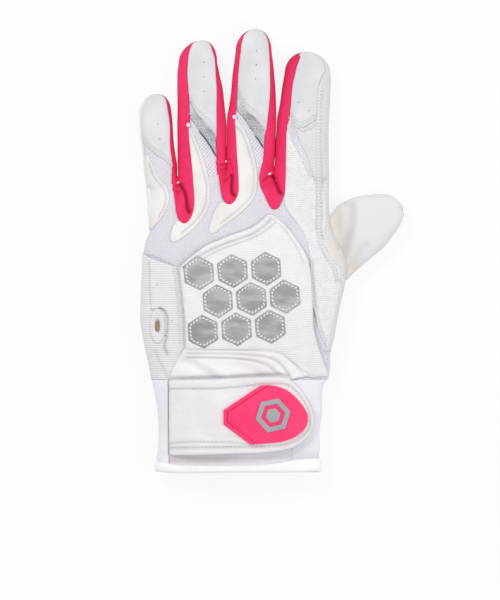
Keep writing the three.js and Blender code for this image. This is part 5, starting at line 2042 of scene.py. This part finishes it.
make_badge()
make_emblem()


# Pull tab with its slot

def ellipse(x, y, width, length, count=40):
    turns = np.linspace(0, 2 * math.pi, count, endpoint=False)
    return np.stack([x + width / 2 * np.cos(turns), y + length / 2 * np.sin(turns)], -1)


def make_pull_tab():
    """Rounded tab with an oval slot, and what shows through the slot."""
    x, y = drawn((157.6, 326))
    hole = ellipse(x, y, 2.0, 6.4, 28)
    tab = patch("pull_tab_leather", ellipse(x, y, 8.0, 18.5), lift=1.15, spacing=1.0, roll=0.7, hole=hole)
    finish_piece(tab, "ribbed_leather", "hand", "pull_tab")
    lining = patch("pull_tab_slot_lining", ellipse(x, y, 2.8, 7.2), lift=0.75, spacing=0.8, thickness=0.2,
                   roll=0.3)
    finish_piece(lining, "slot_lining", "hand")


make_pull_tab()


# Punched holes

HOLES = {
    "pinky": [(158, 124), (160, 139)],
    "ring": [(204, 62.5), (204, 77), (204, 91.5)],
    "middle": [(256.6, 51), (256.4, 65), (255.5, 79)],
    "index": [(298.6, 102.5), (308.6, 111)],
    "hand": [(157, 285), (168.6, 296.5), (163, 309), (172, 321), (165.6, 335.5)],
}


def make_holes():
    """Small punched holes in the fingers and the side panel, each a dark disc painted with the shade inside
    the hole.
    """
    for body, middles in HOLES.items():
        lift = 0.66 if body == "hand" else 0.92
        pieces = [
            patch(f"{body}_hole_{at}", ellipse(*drawn(middle), 0.75, 0.75, 10), lift=lift, spacing=0.4,
                  thickness=0.15, roll=0.2, soft=0.1)
            for at, middle in enumerate(middles)
        ]
        finish_piece(joined(f"{body}_punched_holes", pieces), "dark_hole", body)


make_holes()


# Seam stitches on the hand

def make_hand_stitches():
    """Stitches along the seams of the hand."""
    threads = Threads()
    for line in (SIDE_FOLDS[4][0], SIDE_FOLDS[5][0], WRAP_SEAM):
        threads.run(raised(curve_line(line), 0.35), *SEAM_STITCH)
    for line, width, depth in PAD_SEAMS:
        threads.run(raised(curve_line(line), 1.0 - depth * 0.5, pad_top), *SEAM_STITCH)
    threads.sew("hand_seam_stitches", "hand")


make_hand_stitches()


# Floor, light and camera

def seen_directly(tree):
    """1 for camera rays, and for what metal and glass show."""
    path = add_node(tree, "ShaderNodeLightPath")
    seen = Value(tree, path.outputs["Is Camera Ray"])
    for kind in ("Is Glossy Ray", "Is Transmission Ray"):
        seen = seen.math("MAXIMUM", path.outputs[kind])
    return seen


def mix_shaders(tree, share, first, second, output):
    """Ends a node tree with a share between two shaders."""
    mixed = add_node(tree, "ShaderNodeMixShader", {}, {0: share, 1: first.outputs[0], 2: second.outputs[0]})
    tree.links.new(mixed.outputs[0], tree.nodes[output].inputs["Surface"])


def backdrop_finish():
    """A pale floor that is white to the camera and keeps the glove's shadow."""
    material = bpy.data.materials.new("floor")
    material.use_nodes = True
    tree = material.node_tree
    matt = tree.nodes["Principled BSDF"]
    matt.inputs["Base Color"].default_value = (0.9, 0.9, 0.9, 1)
    matt.inputs["Roughness"].default_value = 0.9
    glow = add_node(tree, "ShaderNodeEmission", {}, {"Color": (1, 1, 1, 1), "Strength": 1.0})
    mix_shaders(tree, seen_directly(tree) * 0.86, matt, glow, "Material Output")
    return material


def make_world():
    """Soft white light from all round, on a background that is brighter to the camera."""
    world = bpy.data.worlds.new("studio")
    world.use_nodes = True
    bpy.context.scene.world = world
    tree = world.node_tree
    soft = tree.nodes["Background"]
    soft.inputs["Color"].default_value = (1, 1, 1, 1)
    soft.inputs["Strength"].default_value = 0.56
    bright = add_node(tree, "ShaderNodeBackground", {}, {"Strength": 1.0})
    mix_shaders(tree, seen_directly(tree), soft, bright, "World Output")


FLOOR_REACH = 3.0
FLOOR_HEIGHT = -0.0003
LAMPS = {"key": ((-0.5, 0.52, 0.8), 0.3, 4.2), "fill": ((0.7, -0.2, 0.75), 0.7, 3.4)}  # place, size, power


def make_stage():
    """Floor, surroundings and two soft lamps."""
    signs = ((-1, -1), (1, -1), (1, 1), (-1, 1))
    corners = [(FLOOR_REACH * x, FLOOR_REACH * y, FLOOR_HEIGHT) for x, y in signs]
    floor = bpy.data.meshes.new("floor")
    floor.from_pydata(corners, [], [(0, 1, 2, 3)])
    floor.materials.append(backdrop_finish())
    plane = bpy.data.objects.new("floor", floor)
    bpy.context.scene.collection.objects.link(plane)
    make_world()
    for name, (place, size, power) in LAMPS.items():
        lamp = bpy.data.lights.new(name, "AREA")
        lamp.size = size
        lamp.energy = power
        light = bpy.data.objects.new(name, lamp)
        light.location = place
        light.rotation_euler = (-Vector(place)).to_track_quat("-Z", "Y").to_euler()
        bpy.context.scene.collection.objects.link(light)


make_stage()


EYE_DISTANCE = 3.0
SENSOR = 36


def make_camera():
    """Straight above, so far away that the view is nearly parallel."""
    camera = bpy.data.cameras.new("camera")
    camera.sensor_fit = "VERTICAL"
    camera.sensor_height = SENSOR
    camera.sensor_width = SENSOR
    camera.lens = SENSOR * (EYE_DISTANCE - MIDDLE_HEIGHT * MM) / (PICTURE_HEIGHT * UNIT * MM)
    camera.clip_end = 20
    eye = bpy.data.objects.new("camera", camera)
    eye.location = in_metres(*drawn((PICTURE_WIDTH / 2, PICTURE_HEIGHT / 2)), EYE_DISTANCE / MM)
    bpy.context.scene.collection.objects.link(eye)
    bpy.context.scene.camera = eye


make_camera()
bpy.context.scene.view_settings.view_transform = "Standard"
